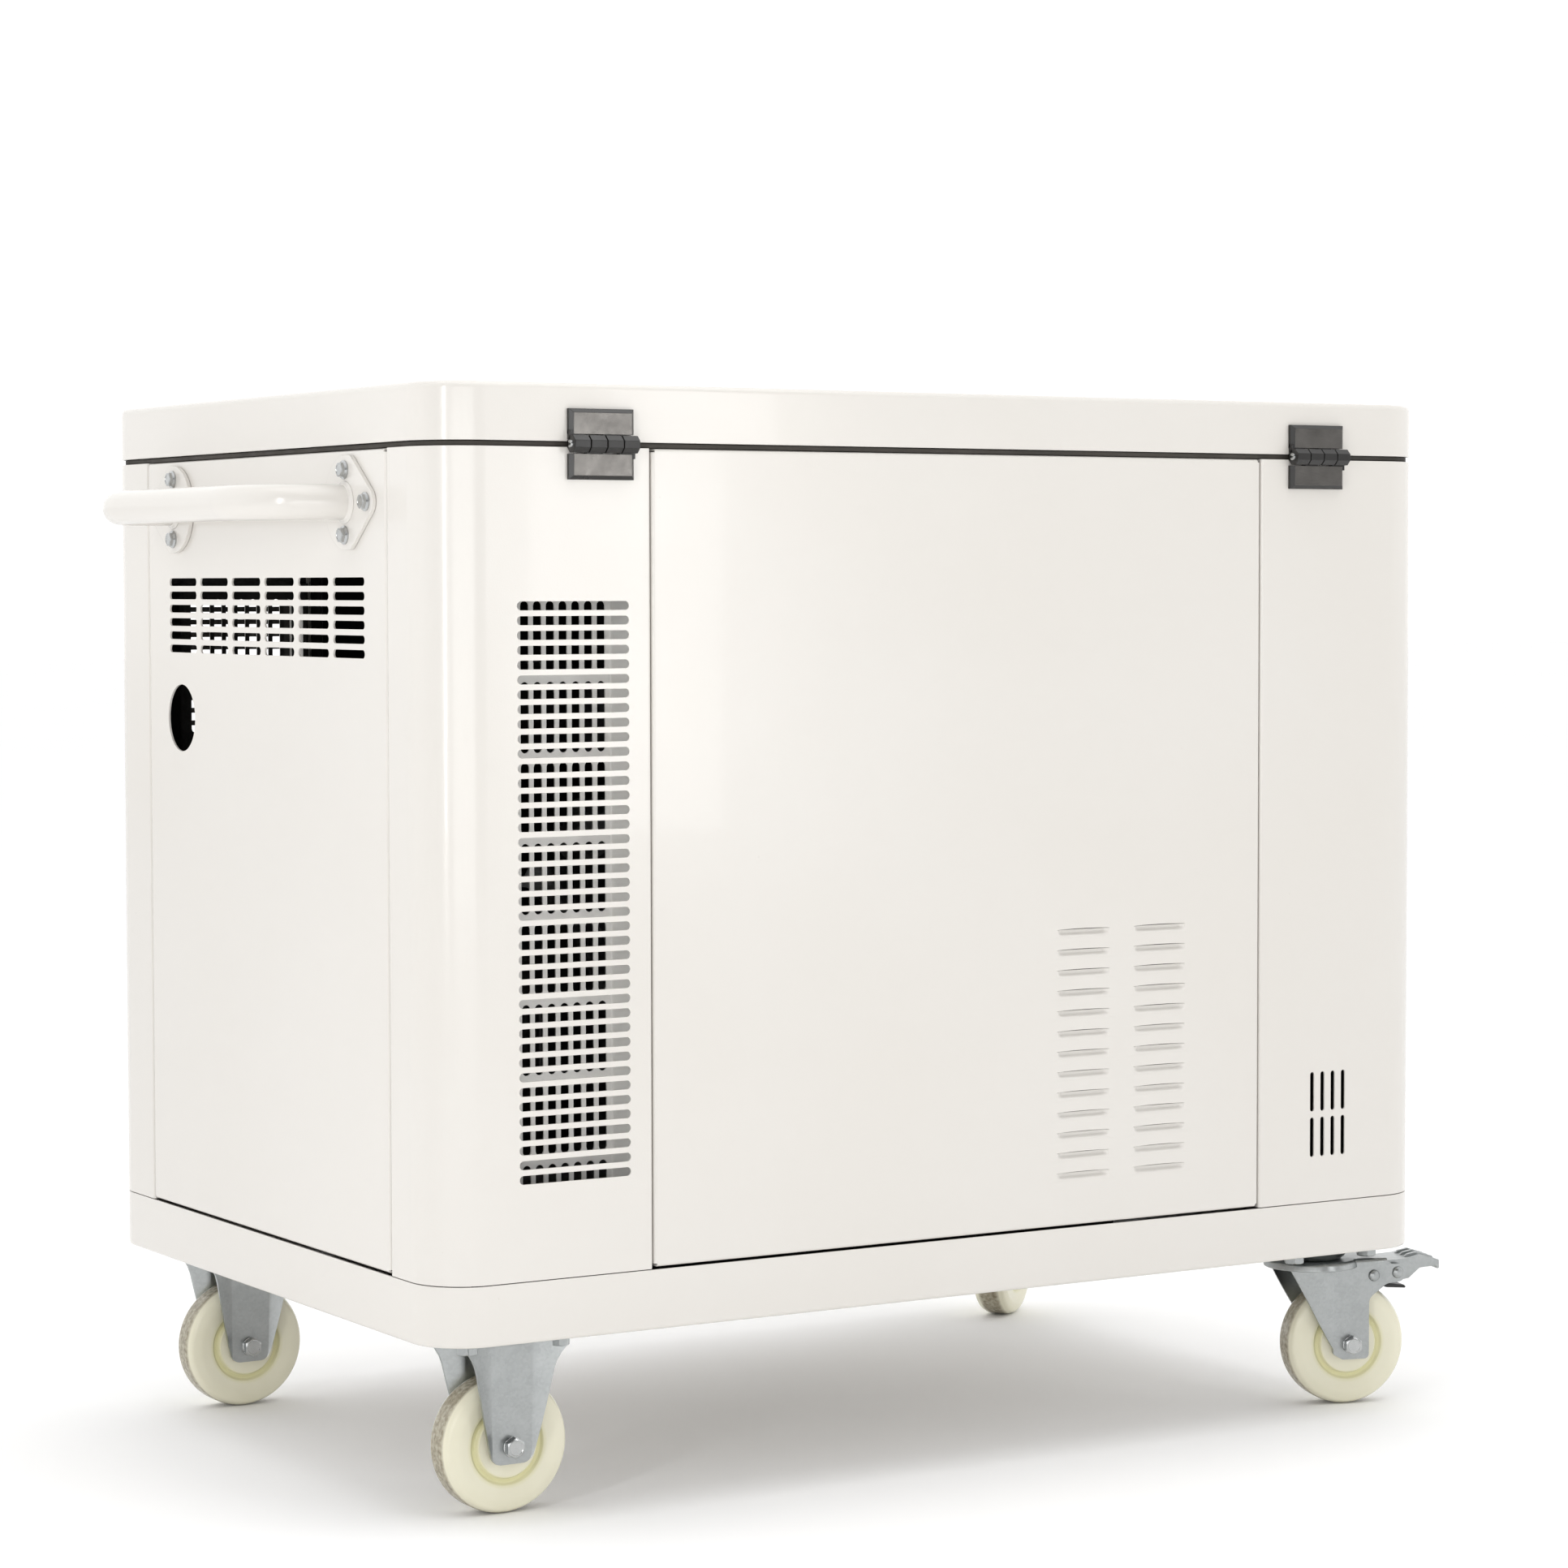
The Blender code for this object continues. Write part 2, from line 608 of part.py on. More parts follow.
def fork_strip(top):
    """Bends one steel strip into a fork: foot, leg, shoulder, bridge and down again. It widens to the top."""
    half_gap = FORK_INSIDE / 2 + FORK_SHEET / 2
    shoulder = 0.008
    below_axle = 0.0147
    foot = AXLE_Z - below_axle
    leg = top - FORK_SHEET / 2 - shoulder - foot
    pieces = [(leg, 0.0), bend(shoulder), (2 * (half_gap - shoulder), 0.0), bend(shoulder), (leg, 0.0)]
    at, breaks = route((half_gap, foot), 90.0, pieces)
    total = breaks[-1]
    ends = [0.0, 0.002, 0.006, 0.0147, 0.035, 0.055, 0.070]
    stops = sorted({round(d, 6) for d in [*ends, *[total - d for d in ends], *breaks]})
    rings = []
    for distance in stops:
        place, normal = at(distance)
        climb = min(max((place.y - AXLE_Z) / (top - AXLE_Z), 0.0), 1.0)
        half_width = 0.0192 + 0.0235 * climb ** 0.8
        rounding = max(0.006 - min(distance, total - distance), 0.0)
        half_width -= rounding ** 2 / 0.006
        offset = normal * FORK_SHEET / 2
        outer, inner = place - offset, place + offset
        corners = ((-half_width, outer), (half_width, outer), (half_width, inner), (-half_width, inner))
        rings.append([Vector((x, point.x, point.y)) for x, point in corners])
    return loft(rings)


def make_wheel(name, place, spin):
    """Makes a nylon wheel with a raised hub and rounded tread corners, on its own axle."""
    tread, hub, disc, groove = WHEEL_TREAD / 2, WHEEL_HUB / 2, WHEEL_DISC / 2, WHEEL_GROOVE / 2
    flat_radius = WHEEL_RADIUS / math.cos(math.pi / WHEEL_SIDES)
    side = [(AXLE_BOLT + 2 * GAP, hub), (0.0125, hub), (0.0145, disc), (0.0292, disc), (0.0310, groove),
            (0.0345, groove), (0.0365, tread), (flat_radius - WHEEL_SHOULDER[0], tread),
            (flat_radius, tread - WHEEL_SHOULDER[1])]
    profile = side + [(radius, -depth) for radius, depth in reversed(side)]
    tyre = turned(profile, (0, 0, 0), (0, 1, 0), WHEEL_SIDES)
    add_object(f"{name}_wheel", tyre, NYLON, place=place, spin=spin)
    grip = FORK_INSIDE / 2 + FORK_SHEET + GAP
    steps = [(-grip - 0.009, 0.008), (-grip - 0.008, 0.0105, True), (-grip, 0.0105, True), (-grip, AXLE_BOLT),
             (grip, AXLE_BOLT), (grip, 0.0105, True), (grip + 0.006, 0.0105, True), (grip + 0.007, 0.008),
             (grip + 0.011, 0.0075)]
    bolt = stack((0, 0, 0), (0, 1, 0), steps, sides=12)
    add_object(f"{name}_axle_bolt", bolt, ZINC, place=place, spin=spin)


def axle_hole():
    reach = FORK_INSIDE
    return stack((0, 0, 0), (0, 1, 0), [(-reach, AXLE_BOLT + GAP), (reach, AXLE_BOLT + GAP)], sides=12)


def caster_plate(low, high):
    half_x, half_y = PLATE_HALF
    return block((-half_x, -half_y, low), (half_x, half_y, high))


def make_fixed_caster(name, y):
    under = BASE_BOTTOM - GAP
    plate_bottom = under - PLATE
    place = (FIXED_X, y, 0.0)
    fork = add_object(f"{name}_fork", fork_strip(plate_bottom + 0.001), ZINC, place=place)
    shape_with(fork, "UNION", caster_plate(plate_bottom, under), place=place)
    shape_with(fork, "DIFFERENCE", axle_hole(), place=(FIXED_X, y, AXLE_Z))
    make_wheel(name, (FIXED_X, y, AXLE_Z), 0.0)


def make_swivel_caster(name, y, spin):
    """Makes a braked swivel caster; in its own frame the wheel trails towards +X."""
    place = (SWIVEL_X, y, 0.0)
    turn = Matrix.Rotation(math.radians(spin), 3, "Z")
    hub = Vector(place) + turn @ Vector((SWIVEL_TRAIL, 0.0, AXLE_Z))
    under = BASE_BOTTOM - GAP
    race_bottom = under - PLATE - SWIVEL_RACE
    plate = add_object(f"{name}_plate", caster_plate(under - PLATE, under), ZINC, place=place)
    race = [(race_bottom, 0.030), (race_bottom + 0.003, 0.038), (under - PLATE + 0.001, 0.038)]
    shape_with(plate, "UNION", stack((0, 0, 0), (0, 0, 1), race, sides=16), place=place)

    head_top = race_bottom - GAP
    half = FORK_INSIDE / 2 + FORK_SHEET
    bridge = block((-0.030, -half, head_top - 0.004), (0.072, half, head_top - 0.001))
    fork = add_object(f"{name}_fork", bridge, ZINC, place=place, spin=spin)
    head = [(head_top - 0.004, SWIVEL_HEAD - 0.004), (head_top - 0.002, SWIVEL_HEAD), (head_top, SWIVEL_HEAD)]
    shape_with(fork, "UNION", stack((0, 0, 0), (0, 0, 1), head, sides=16), place=place, spin=spin)
    cheek = [(-0.033, head_top - 0.002), (-0.033, 0.126), (0.0138, 0.0635), (0.0138, 0.0535), (0.020, 0.0475),
             (0.046, 0.0475), (0.0522, 0.0535), (0.0522, 0.110), (0.057, 0.1165), (0.078, 0.1235),
             (0.091, 0.127), (0.0935, 0.133), (0.0935, 0.1415), (0.086, 0.146), (0.074, head_top - 0.002)]
    for side in (-1, 1):
        inner, outer = sorted((side * (FORK_INSIDE / 2 + GAP / 3), side * (half - GAP / 3)))
        plate = prism([(x, inner, z) for x, z in cheek], (0, 1, 0), outer - inner)
        shape_with(fork, "UNION", plate, place=place, spin=spin)
    shape_with(fork, "DIFFERENCE", axle_hole(), place=hub, spin=spin)
    make_wheel(name, hub, spin)

    pivot_x, pivot_z = PEDAL_PIVOT
    outline = [(0.058, 0.1295), (0.074, 0.1225), (0.100, 0.130), (0.130, 0.132), (0.131, 0.137),
               (0.112, 0.141), (0.066, 0.1425), (0.058, 0.139)]
    source = prism([(x, -PEDAL_HALF, z) for x, z in outline], (0, 1, 0), 2 * PEDAL_HALF)
    pivot = (pivot_x, 0.0, pivot_z)
    pedal_place = Vector(place) + turn @ Vector(pivot)
    add_object(f"{name}_brake_pedal", source, ZINC, pivot=pivot, place=pedal_place, spin=spin)


def make_engine():
    """Makes the power unit on its rails: V-twin engine, fan, alternator, exhaust, tank and battery."""
    floor = BASE_BOTTOM + 0.003 + GAP
    rail_top = floor + RAIL_SIDE
    half = RAIL_SIDE / 2
    for side, y in (("rear", -RAIL_Y), ("front", RAIL_Y)):
        rail = block((RAIL_X[0], y - half, floor), (RAIL_X[1], y + half, rail_top))
        add_object(f"rail_{side}", rail, BLACK)
        for end, x in zip(("left", "right"), MOUNT_X):
            steps = [(0.0, 0.022), (0.012, 0.018), (ENGINE_BOTTOM - GAP - rail_top - GAP, 0.022)]
            add_object(f"mount_{side}_{end}", stack((x, y, rail_top + GAP), (0, 0, 1), steps), RUBBER)

    section = [(-0.175, ENGINE_BOTTOM), (0.175, ENGINE_BOTTOM), (0.175, 0.400), (0.020, 0.555),
               (-0.020, 0.555), (-0.175, 0.400)]
    outline = [(CRANKCASE_FROM, y, z) for y, z in section]
    add_object("crankcase", prism(outline, (1, 0, 0), CRANKCASE_TO - CRANKCASE_FROM), CAST)
    fins = [(GAP, 0.050)]
    for k in range(4):
        at = 0.015 + FIN_PITCH * k
        fins += [(at, 0.050), (at + 0.002, 0.064), (at + 0.006, 0.064), (at + 0.008, 0.050)]
    fins += [(0.122, 0.056), (0.135, 0.050)]
    slope = math.sqrt(0.5)
    for side, sign, x in (("rear", -1, CYLINDER_X[0]), ("front", 1, CYLINDER_X[1])):
        foot = (x, sign * CYLINDER_FOOT[0], CYLINDER_FOOT[1])
        add_object(f"cylinder_{side}", stack(foot, (0, sign * slope, slope), fins, sides=12), CAST)

    start = (CRANKCASE_FROM - GAP, 0.0, CRANK_Z)
    fan = [(0.0, 0.035), (0.020, 0.035), (0.022, 0.140), (0.070, 0.140), (0.072, 0.120), (0.074, 0.040),
           (0.085, 0.036)]
    add_object("cooling_fan", stack(start, (-1, 0, 0), fan, sides=16), BLACK, pivot=start)
    casing = [(0.0, 0.135), (0.02, 0.145), (0.22, 0.145), (0.24, 0.13), (0.27, 0.12), (0.28, 0.09)]
    barrel = stack((CRANKCASE_TO + GAP, 0.0, CRANK_Z), (1, 0, 0), casing, sides=16)
    alternator = add_object("alternator", barrel, CAST)
    shape_with(alternator, "UNION", block((0.12, -0.175, ENGINE_BOTTOM), (0.26, 0.175, 0.275)))

    can = [(-0.530, 0.021), (-0.462, 0.021), (-0.455, 0.044), (-0.445, 0.050), (-0.130, 0.050),
           (-0.120, 0.044)]
    add_object("muffler", stack((0.0, PORT[0], PORT[1]), (1, 0, 0), can), BLACK)
    cleaner = [(0.0, 0.080), (0.070, 0.080), (0.078, 0.072)]
    add_object("air_cleaner", stack(CLEANER_FOOT, (0, 0, 1), cleaner, sides=16), BLACK)
    edge = 0.012
    depth = 0.16
    bottom = TANK_TOP - depth
    levels = ((edge, bottom), (0.0, bottom + edge), (0.0, TANK_TOP - edge), (edge, TANK_TOP))
    shift = Vector((*TANK_CENTRE, 0.0))
    tank = [[point + shift for point in rounded_rectangle(0.17 - inset, 0.20 - inset, 0.03, z, per_corner=3)]
            for inset, z in levels]
    add_object("fuel_tank", loft(tank), BLACK)
    cap_place = (*TANK_CENTRE, TANK_TOP + GAP)
    cap = [(0.0, 0.030), (0.012, 0.030), (0.016, 0.026)]
    add_object("fuel_cap", stack(cap_place, (0, 0, 1), cap, sides=16), BLACK, pivot=cap_place)
    add_object("battery", block((0.34, 0.12, floor), (0.52, 0.29, floor + 0.19)), BLACK)


def knob_bar(centre, half_width, half_height, face, length):
    """Gives the grip across a knob on the control panel."""
    x, z = centre
    return block((x - half_width, face, z - half_height), (x + half_width, face + length, z + half_height))


def make_controls():
    x, z = CONTROL_CENTRE
    lap = 0.008
    half_x, half_z = CONTROL_WINDOW[0] / 2 + lap, CONTROL_WINDOW[1] / 2 + lap
    sheet = block((x - half_x, CONTROL_FACE - 0.003, z - half_z), (x + half_x, CONTROL_FACE, z + half_z))
    add_object("control_panel", sheet, BLACK)
    face = CONTROL_FACE + GAP
    deep = HALF_W + PROUD - face
    out = (0, 1, 0)

    key = (x + KEY_OFFSET[0], z + KEY_OFFSET[1])
    pivot = (key[0], face, key[1])
    barrel = stack(pivot, out, [(0.0, 0.013), (0.005, 0.013), (0.006, 0.010)], sides=16)
    switch = add_object("key_switch", barrel, ZINC, pivot=pivot)
    shape_with(switch, "UNION", knob_bar(key, 0.0015, 0.009, face + 0.004, deep - 0.004))

    main_place = (x + MAIN_OFFSET[0], z + MAIN_OFFSET[1])
    pivot = (main_place[0], face, main_place[1])
    disc = stack(pivot, out, [(0.0, 0.024), (0.004, 0.024), (0.006, 0.021)], sides=16)
    knob = add_object("main_switch", disc, BLACK, pivot=pivot)
    shape_with(knob, "UNION", knob_bar(main_place, 0.005, 0.022, face + 0.004, deep - 0.004))

    travel = 0.0055
    stop = (x + STOP_OFFSET[0], face + travel, z + STOP_OFFSET[1])
    cap = [(0.0, 0.018), (0.003, 0.020), (0.007, 0.020), (deep - travel, 0.015)]
    add_object("emergency_stop", stack(stop, out, cap, sides=16), RED, pivot=stop)

    outlet = (x + SOCKET_OFFSET[0], face, z + SOCKET_OFFSET[1])
    rings = [(0.0, 0.034), (0.004, 0.034), (0.004, 0.028), (deep, 0.028)]
    socket = add_object("power_socket", stack(outlet, out, rings, sides=16), BLACK)
    recess = stack((outlet[0], face + 0.004, outlet[2]), out, [(0.0, 0.022), (deep, 0.022)], sides=16)
    shape_with(socket, "DIFFERENCE", recess)

    for side, latch_x in (("left", -LATCH_X), ("right", LATCH_X)):
        centre = (latch_x, HALF_W + GAP, LATCH_Z)
        rose = stack(centre, out, [(0.0, 0.018), (0.003, 0.018), (0.005, 0.015)], sides=16)
        latch = add_object(f"lid_latch_{side}", rose, BLACK, pivot=centre)
        wing = knob_bar((latch_x, LATCH_Z), 0.004, 0.017, HALF_W + 0.003, PROUD - 0.003)
        shape_with(latch, "UNION", wing)


def main():
    for item in list(bpy.data.objects):
        bpy.data.objects.remove(item)
    make_shells()
    make_posts()
    make_panels()
    make_baffle("intake_baffle_rear", 0.0, BAFFLE_FROM, BAFFLE_TO)
    make_baffle("intake_baffle_front", 180.0, -BAFFLE_TO, -BAFFLE_FROM)
    for side, x in zip(("left", "right"), HINGE_X):
        make_hinge(f"hinge_{side}", x)
    make_handle("handle_left", 0.0)
    make_handle("handle_right", 180.0)
    make_fixed_caster("caster_fixed_rear", -CASTER_Y)
    make_fixed_caster("caster_fixed_front", CASTER_Y)
    make_swivel_caster("caster_swivel_rear", -CASTER_Y, SWIVEL_TURNS["rear"])
    make_swivel_caster("caster_swivel_front", CASTER_Y, SWIVEL_TURNS["front"])
    make_engine()
    make_controls()


main()
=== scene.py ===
"""Looks of the enclosed generator set: sheet metal, fittings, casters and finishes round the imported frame.

Metres, +Z up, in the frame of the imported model. The lid hinges are on the -Y side, the controls on +Y.
"""

import json
import math

import bmesh
import bpy
from mathutils import Matrix, Vector


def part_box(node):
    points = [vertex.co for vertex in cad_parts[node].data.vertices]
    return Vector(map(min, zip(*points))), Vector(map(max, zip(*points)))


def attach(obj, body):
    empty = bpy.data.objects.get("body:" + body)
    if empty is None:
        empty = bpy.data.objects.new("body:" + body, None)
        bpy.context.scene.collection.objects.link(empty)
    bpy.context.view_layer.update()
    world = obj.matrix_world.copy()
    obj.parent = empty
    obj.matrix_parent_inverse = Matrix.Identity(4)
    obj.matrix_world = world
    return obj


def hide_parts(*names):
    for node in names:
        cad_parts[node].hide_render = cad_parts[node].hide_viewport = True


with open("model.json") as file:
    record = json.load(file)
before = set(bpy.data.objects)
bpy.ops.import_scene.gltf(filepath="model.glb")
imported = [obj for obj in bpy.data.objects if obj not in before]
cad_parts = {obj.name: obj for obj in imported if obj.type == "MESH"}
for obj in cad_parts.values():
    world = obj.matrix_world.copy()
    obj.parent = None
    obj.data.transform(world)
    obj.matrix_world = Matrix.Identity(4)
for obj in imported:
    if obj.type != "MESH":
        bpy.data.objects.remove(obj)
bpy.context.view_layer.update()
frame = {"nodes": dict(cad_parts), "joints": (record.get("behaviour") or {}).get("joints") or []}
SPIN_AXES = {joint["child"]: Vector(joint["axis"]) for joint in frame["joints"]}

# Signs of the corners of a rectangle, in order
SQUARE = ((-1, -1), (1, -1), (1, 1), (-1, 1))

# Cabinet, from the frame
BASE_LOW, BASE_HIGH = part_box("base_tray")
LID_LOW, LID_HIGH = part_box("lid")
SEAL_LOW, SEAL_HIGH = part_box("lid_seal")
HALF_L, HALF_W = BASE_HIGH.x, BASE_HIGH.y
BASE_BOTTOM, BASE_TOP = BASE_LOW.z, BASE_HIGH.z
LID_BOTTOM, LID_TOP = LID_LOW.z, LID_HIGH.z
BODY_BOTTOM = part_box("post_rear_left")[0].z
BODY_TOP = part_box("post_rear_left")[1].z
CORNER = 0.052
SHEET = 0.002
FLANGE = 0.012
FOLD = 0.003
BEND_STEP = 7.5
EDGE = 0.0004
LID_EDGE = 0.006
BASE_EDGE = 0.0035
GAP = 0.0003
TRAY_WALL = 0.0025
TRAY_FLOOR = 0.003
SEAL_WIDTH = 0.011

# Intake grille, on the left posts
GRILLE_SLOTS = 40
GRILLE_TOP = BASE_BOTTOM + 0.6457
GRILLE_PITCH = 0.01286
GRILLE_FROM = -HALF_L + 0.081
GRILLE_TO = -HALF_L + 0.192
GRILLE_SLOT = 0.0078

# Perforated baffle behind the grille: LAST is from its +X end to the nearest column, RISE from the grille's
# top slot to the middle of the first row
BAFFLE_SHEET = 0.0015
BAFFLE_BEND = 0.002
BAFFLE_COLUMNS = 10
BAFFLE_ROWS = 8
BAFFLE_PITCH = 0.0128
BAFFLE_LAST = 0.0099
BAFFLE_SLOT = 0.0083
BAFFLE_SLOT_LENGTH = 0.063
BAFFLE_STEP = 0.0715
BAFFLE_RISE = -0.0274

# Pressed louvres of the rear panel; CELLS divides each one along and across
LOUVRE_ROWS = 13
LOUVRE_TOP = BASE_BOTTOM + 0.3374
LOUVRE_PITCH = 0.01927
LOUVRE_LENGTH = 0.061
LOUVRE_HEIGHT = 0.0066
LOUVRE_DEPTH = 0.0034
LOUVRE_RAMP = 0.007
LOUVRE_SLIT = 0.0009
LOUVRE_CELLS = (20, 7)
LOUVRE_COLUMNS = (-HALF_L + 0.683, -HALF_L + 0.772)

# Drain slots of the right rear post
DRAIN_COLUMNS = 4
DRAIN_FIRST = -HALF_L + 0.9588
DRAIN_PITCH = 0.0128
DRAIN_SLOT = 0.005
DRAIN_LENGTH = 0.039
DRAIN_ROWS = (BASE_BOTTOM + 0.1642, BASE_BOTTOM + 0.1193)

# Slots of the end panels, and the exhaust hole in the left one, by its place along the panel and its height
END_SLOT_COLUMNS = 6
END_SLOT_ROWS = 6
END_SLOT_FIRST = -HALF_W + 0.1691
END_SLOT_STEP = 0.0748
END_SLOT_TOP = BASE_BOTTOM + 0.6671
END_SLOT_PITCH = 0.0129
END_SLOT_LENGTH = 0.0655
END_SLOT = 0.0075
PORT = (-HALF_W + 0.5484, BASE_BOTTOM + 0.5354)
PORT_RADIUS = 0.0325
PORT_SIDES = 64

# Rim of the front panel round the controls
PANEL_RIM = 0.008
PANEL_CORNER = 0.006

# Hinges and handles; a handle's bolts are (outward, upward) from the end of its tube
HINGE_CHAMFER = 0.0035
HINGE_DEPTH = 0.0065
KNUCKLES = 4
KNUCKLE_RADIUS = 0.0083
KNUCKLE_GAP = 0.0008
KNUCKLE_EDGE = 0.0004
HANDLE_TUBE = 0.016
HANDLE_INSET = 0.0566
HANDLE_BEND = 0.076
HANDLE_PLATE = 0.004
HANDLE_PLATE_RADIUS = 0.042
HANDLE_NOSE = 0.0436
HANDLE_BOLTS = ((0.0, -0.029), (0.0, 0.029), (HANDLE_NOSE, 0.0))

# Casters: the plate's size and its bolts' places are halves; WHEEL_RING is where the yellower ring fades in
# and out, WHEEL_TREAD where the dirty tread starts
FORK_SHEET = 0.003
FORK_INSIDE = 0.048
FORK_FLAT = 0.0192
CASTER_PLATE = 0.004
CASTER_PLATE_SIZE = (0.058, 0.043)
CASTER_BOLTS = (0.046, 0.031)
AXLE_HEAD = 0.0165
WHEEL_RING = ((0.0275, 0.0318), (0.0335, 0.0400))
WHEEL_TREAD = (0.0611, 0.0623)

# Swivel caster: distance from the swivel's axis towards the pedal, height over the yoke's top and, for an
# outline, the radius of the corner
YOKE_ARM = (
    (0.0715, -0.0256, 0.012),
    (0.0918, -0.0237, 0.0086),
    (0.0918, -0.0061, 0.0086),
    (0.0770, -0.0061, 0.004),
)
YOKE_NOTCH = -0.0399
YOKE_RIVETS = ((0.0574, -0.0169), (0.083, -0.0149))
PEDAL_TREAD = (
    (0.060, -0.0204, 0.002),
    (0.089, -0.0239, 0.003),
    (0.098, -0.0224, 0.002),
    (0.110, -0.0124, 0.004),
    (0.128, -0.0109, 0.001),
    (0.1285, -0.0139, 0.0005),
    (0.1310, -0.0139, 0.0008),
    (0.1310, -0.0051, 0.001),
    (0.110, 0.0011, 0.004),
    (0.096, -0.0019, 0.004),
    (0.060, -0.0044, 0.002),
)
PEDAL_RIB = (
    (0.096, -0.0018, 0.0),
    (0.099, 0.0011, 0.001),
    (0.109, 0.0032, 0.002),
    (0.126, -0.0019, 0.001),
    (0.128, -0.0044, 0.0),
)
PEDAL_TONGUE = (
    (0.064, -0.0194, 0.001),
    (0.074, -0.0214, 0.001),
    (0.076, -0.0272, 0.001),
    (0.095, -0.0299, 0.0008),
    (0.097, -0.0319, 0.0006),
    (0.0955, -0.0329, 0.0004),
    (0.076, -0.0316, 0.001),
    (0.066, -0.0284, 0.001),
)

# Foam, instruments and bands; GAUGE_FIRST is the angle of a gauge's first tick, in degrees
FOAM_PITCH = 0.024
FOAM_RIDGE = 0.006
FOAM_MARGIN = 0.030
FOAM_SIDE_MARGIN = 0.022
LID_FOAM = 0.018
WALL_FOAM = 0.016
GAUGE_RADIUS = 0.026
GAUGE_FACE = 0.0030
GAUGE_FIRST = 215.0
GAUGE_TICKS = 11
SCREW_INSET = 0.013
BREAKERS = 3
BREAKER_PITCH = 0.019
BREAKER_HALF = (0.0085, 0.022)
MUFFLER_BANDS = (-0.42, -0.16)

# Camera, in heights of the cabinet from its near lower corner; angles in degrees
VIEW_UNIT = LID_TOP - BASE_BOTTOM
VIEW_FROM = (-1.87708, -3.77777, 0.79167)
VIEW_YAW = 31.284
VIEW_PITCH = 2.794
VIEW_ROLL = -0.111
LENS = 94.5

# Studio: name, place, aim, size and power of each softbox; the sky is dim towards DIM_SIDE
SOFTBOXES = (
    ("strip", (1.20, -3.18, 1.25), (-0.2, -0.3, 0.7), (0.34, 1.7), 9.5),
    ("side", (-3.0, -2.0, 1.3), (-0.5, -0.3, 0.6), (0.22, 1.8), 21.0),
    ("front", (-2.0, -4.4, 0.90), (-0.2, -0.3, 0.55), (3.4, 1.4), 37.0),
    ("top", (0.0, -0.6, 3.6), (0.0, 0.0, 0.6), (3.0, 3.0), 30.0),
)
FLOOR_REACH = 40.0
SKY_BRIGHT = 1.27
SKY_DIM = 0.12
DIM_SIDE = (-0.45, -0.89, 0.05)
DIM_FROM = 0.25
DIM_TO = 0.75


# --------------------------------------------------------------------------------- materials


def add_node(tree, kind, inputs=(), **settings):
    """Adds a node, sets its settings and its input values or links."""
    node = tree.nodes.new(kind)
    for key, value in settings.items():
        setattr(node, key, value)
    for key, value in dict(inputs).items():
        if isinstance(value, bpy.types.NodeSocket):
            tree.links.new(value, node.inputs[key])
        else:
            node.inputs[key].default_value = value
    return node


def object_place(tree):
    """Gives the place in the object's own frame, so that a finish moves with its piece."""
    return add_node(tree, "ShaderNodeTexCoord").outputs["Object"]


def noise(tree, scale, detail=3.0):
    """Gives a noise texture, from 0 to 1."""
    inputs = {"Vector": object_place(tree), "Scale": scale, "Detail": detail}
    return add_node(tree, "ShaderNodeTexNoise", inputs).outputs["Fac"]


def spread(tree, value, low, high, start=0.3, end=0.7):
    """Maps a texture's middle range onto low to high."""
    inputs = {"Value": value, "From Min": start, "From Max": end, "To Min": low, "To Max": high}
    return add_node(tree, "ShaderNodeMapRange", inputs).outputs["Result"]


def blend_colours(tree, amount, first, second):
    """Mixes two colours, each a value or a link, by an amount."""
    node = add_node(tree, "ShaderNodeMix", data_type="RGBA")
    for socket, value in (("Factor_Float", amount), ("A_Color", first), ("B_Color", second)):
        target = next(s for s in node.inputs if s.identifier == socket)
        if isinstance(value, bpy.types.NodeSocket):
            tree.links.new(value, target)
        else:
            target.default_value = value if isinstance(value, float) else (*value, 1.0)
    return next(s for s in node.outputs if s.identifier == "Result_Color")


def finish(name, light, dark, roughness, metallic=0.0, patch=14.0, grain=700.0, relief=0.02, coat=0.0):
    """Makes a finish whose colour drifts between two shades, with a fine grain and patchy roughness."""
    material = bpy.data.materials.new(name)
    material.use_nodes = True
    tree = material.node_tree
    shader = tree.nodes["Principled BSDF"]
    shader.inputs["Metallic"].default_value = metallic
    shader.inputs["Coat Weight"].default_value = coat
    colour = blend_colours(tree, spread(tree, noise(tree, patch), 0.0, 1.0), dark, light)
    tree.links.new(colour, shader.inputs["Base Color"])
    sheen = spread(tree, noise(tree, patch * 3.1, 4.0), roughness * 0.88, roughness * 1.12)
    tree.links.new(sheen, shader.inputs["Roughness"])
    inputs = {"Height": noise(tree, grain), "Strength": relief, "Distance": 0.001}
    bump = add_node(tree, "ShaderNodeBump", inputs)
    tree.links.new(bump.outputs["Normal"], shader.inputs["Normal"])
    return material


def recolour(material, change):
    """Passes a material's colour through change(tree, colour), which gives the new colour."""
    tree = material.node_tree
    target = tree.nodes["Principled BSDF"].inputs["Base Color"]
    colour = target.links[0].from_socket
    tree.links.new(change(tree, colour), target)
    return material


def product(tree, first, second):
    """Multiplies two values."""
    return add_node(tree, "ShaderNodeMath", {0: first, 1: second}, operation="MULTIPLY").outputs[0]


def specked(tree, colour):
    """Adds sparse faint scuffs and dust specks."""
    cells = add_node(tree, "ShaderNodeTexVoronoi", {"Vector": object_place(tree), "Scale": 34.0})
    near = spread(tree, cells.outputs["Distance"], 1.0, 0.0, 0.015, 0.032)
    rare = spread(tree, noise(tree, 6.0), 0.0, 0.35, 0.56, 0.66)
    return blend_colours(tree, product(tree, near, rare), colour, (0.42, 0.38, 0.31))


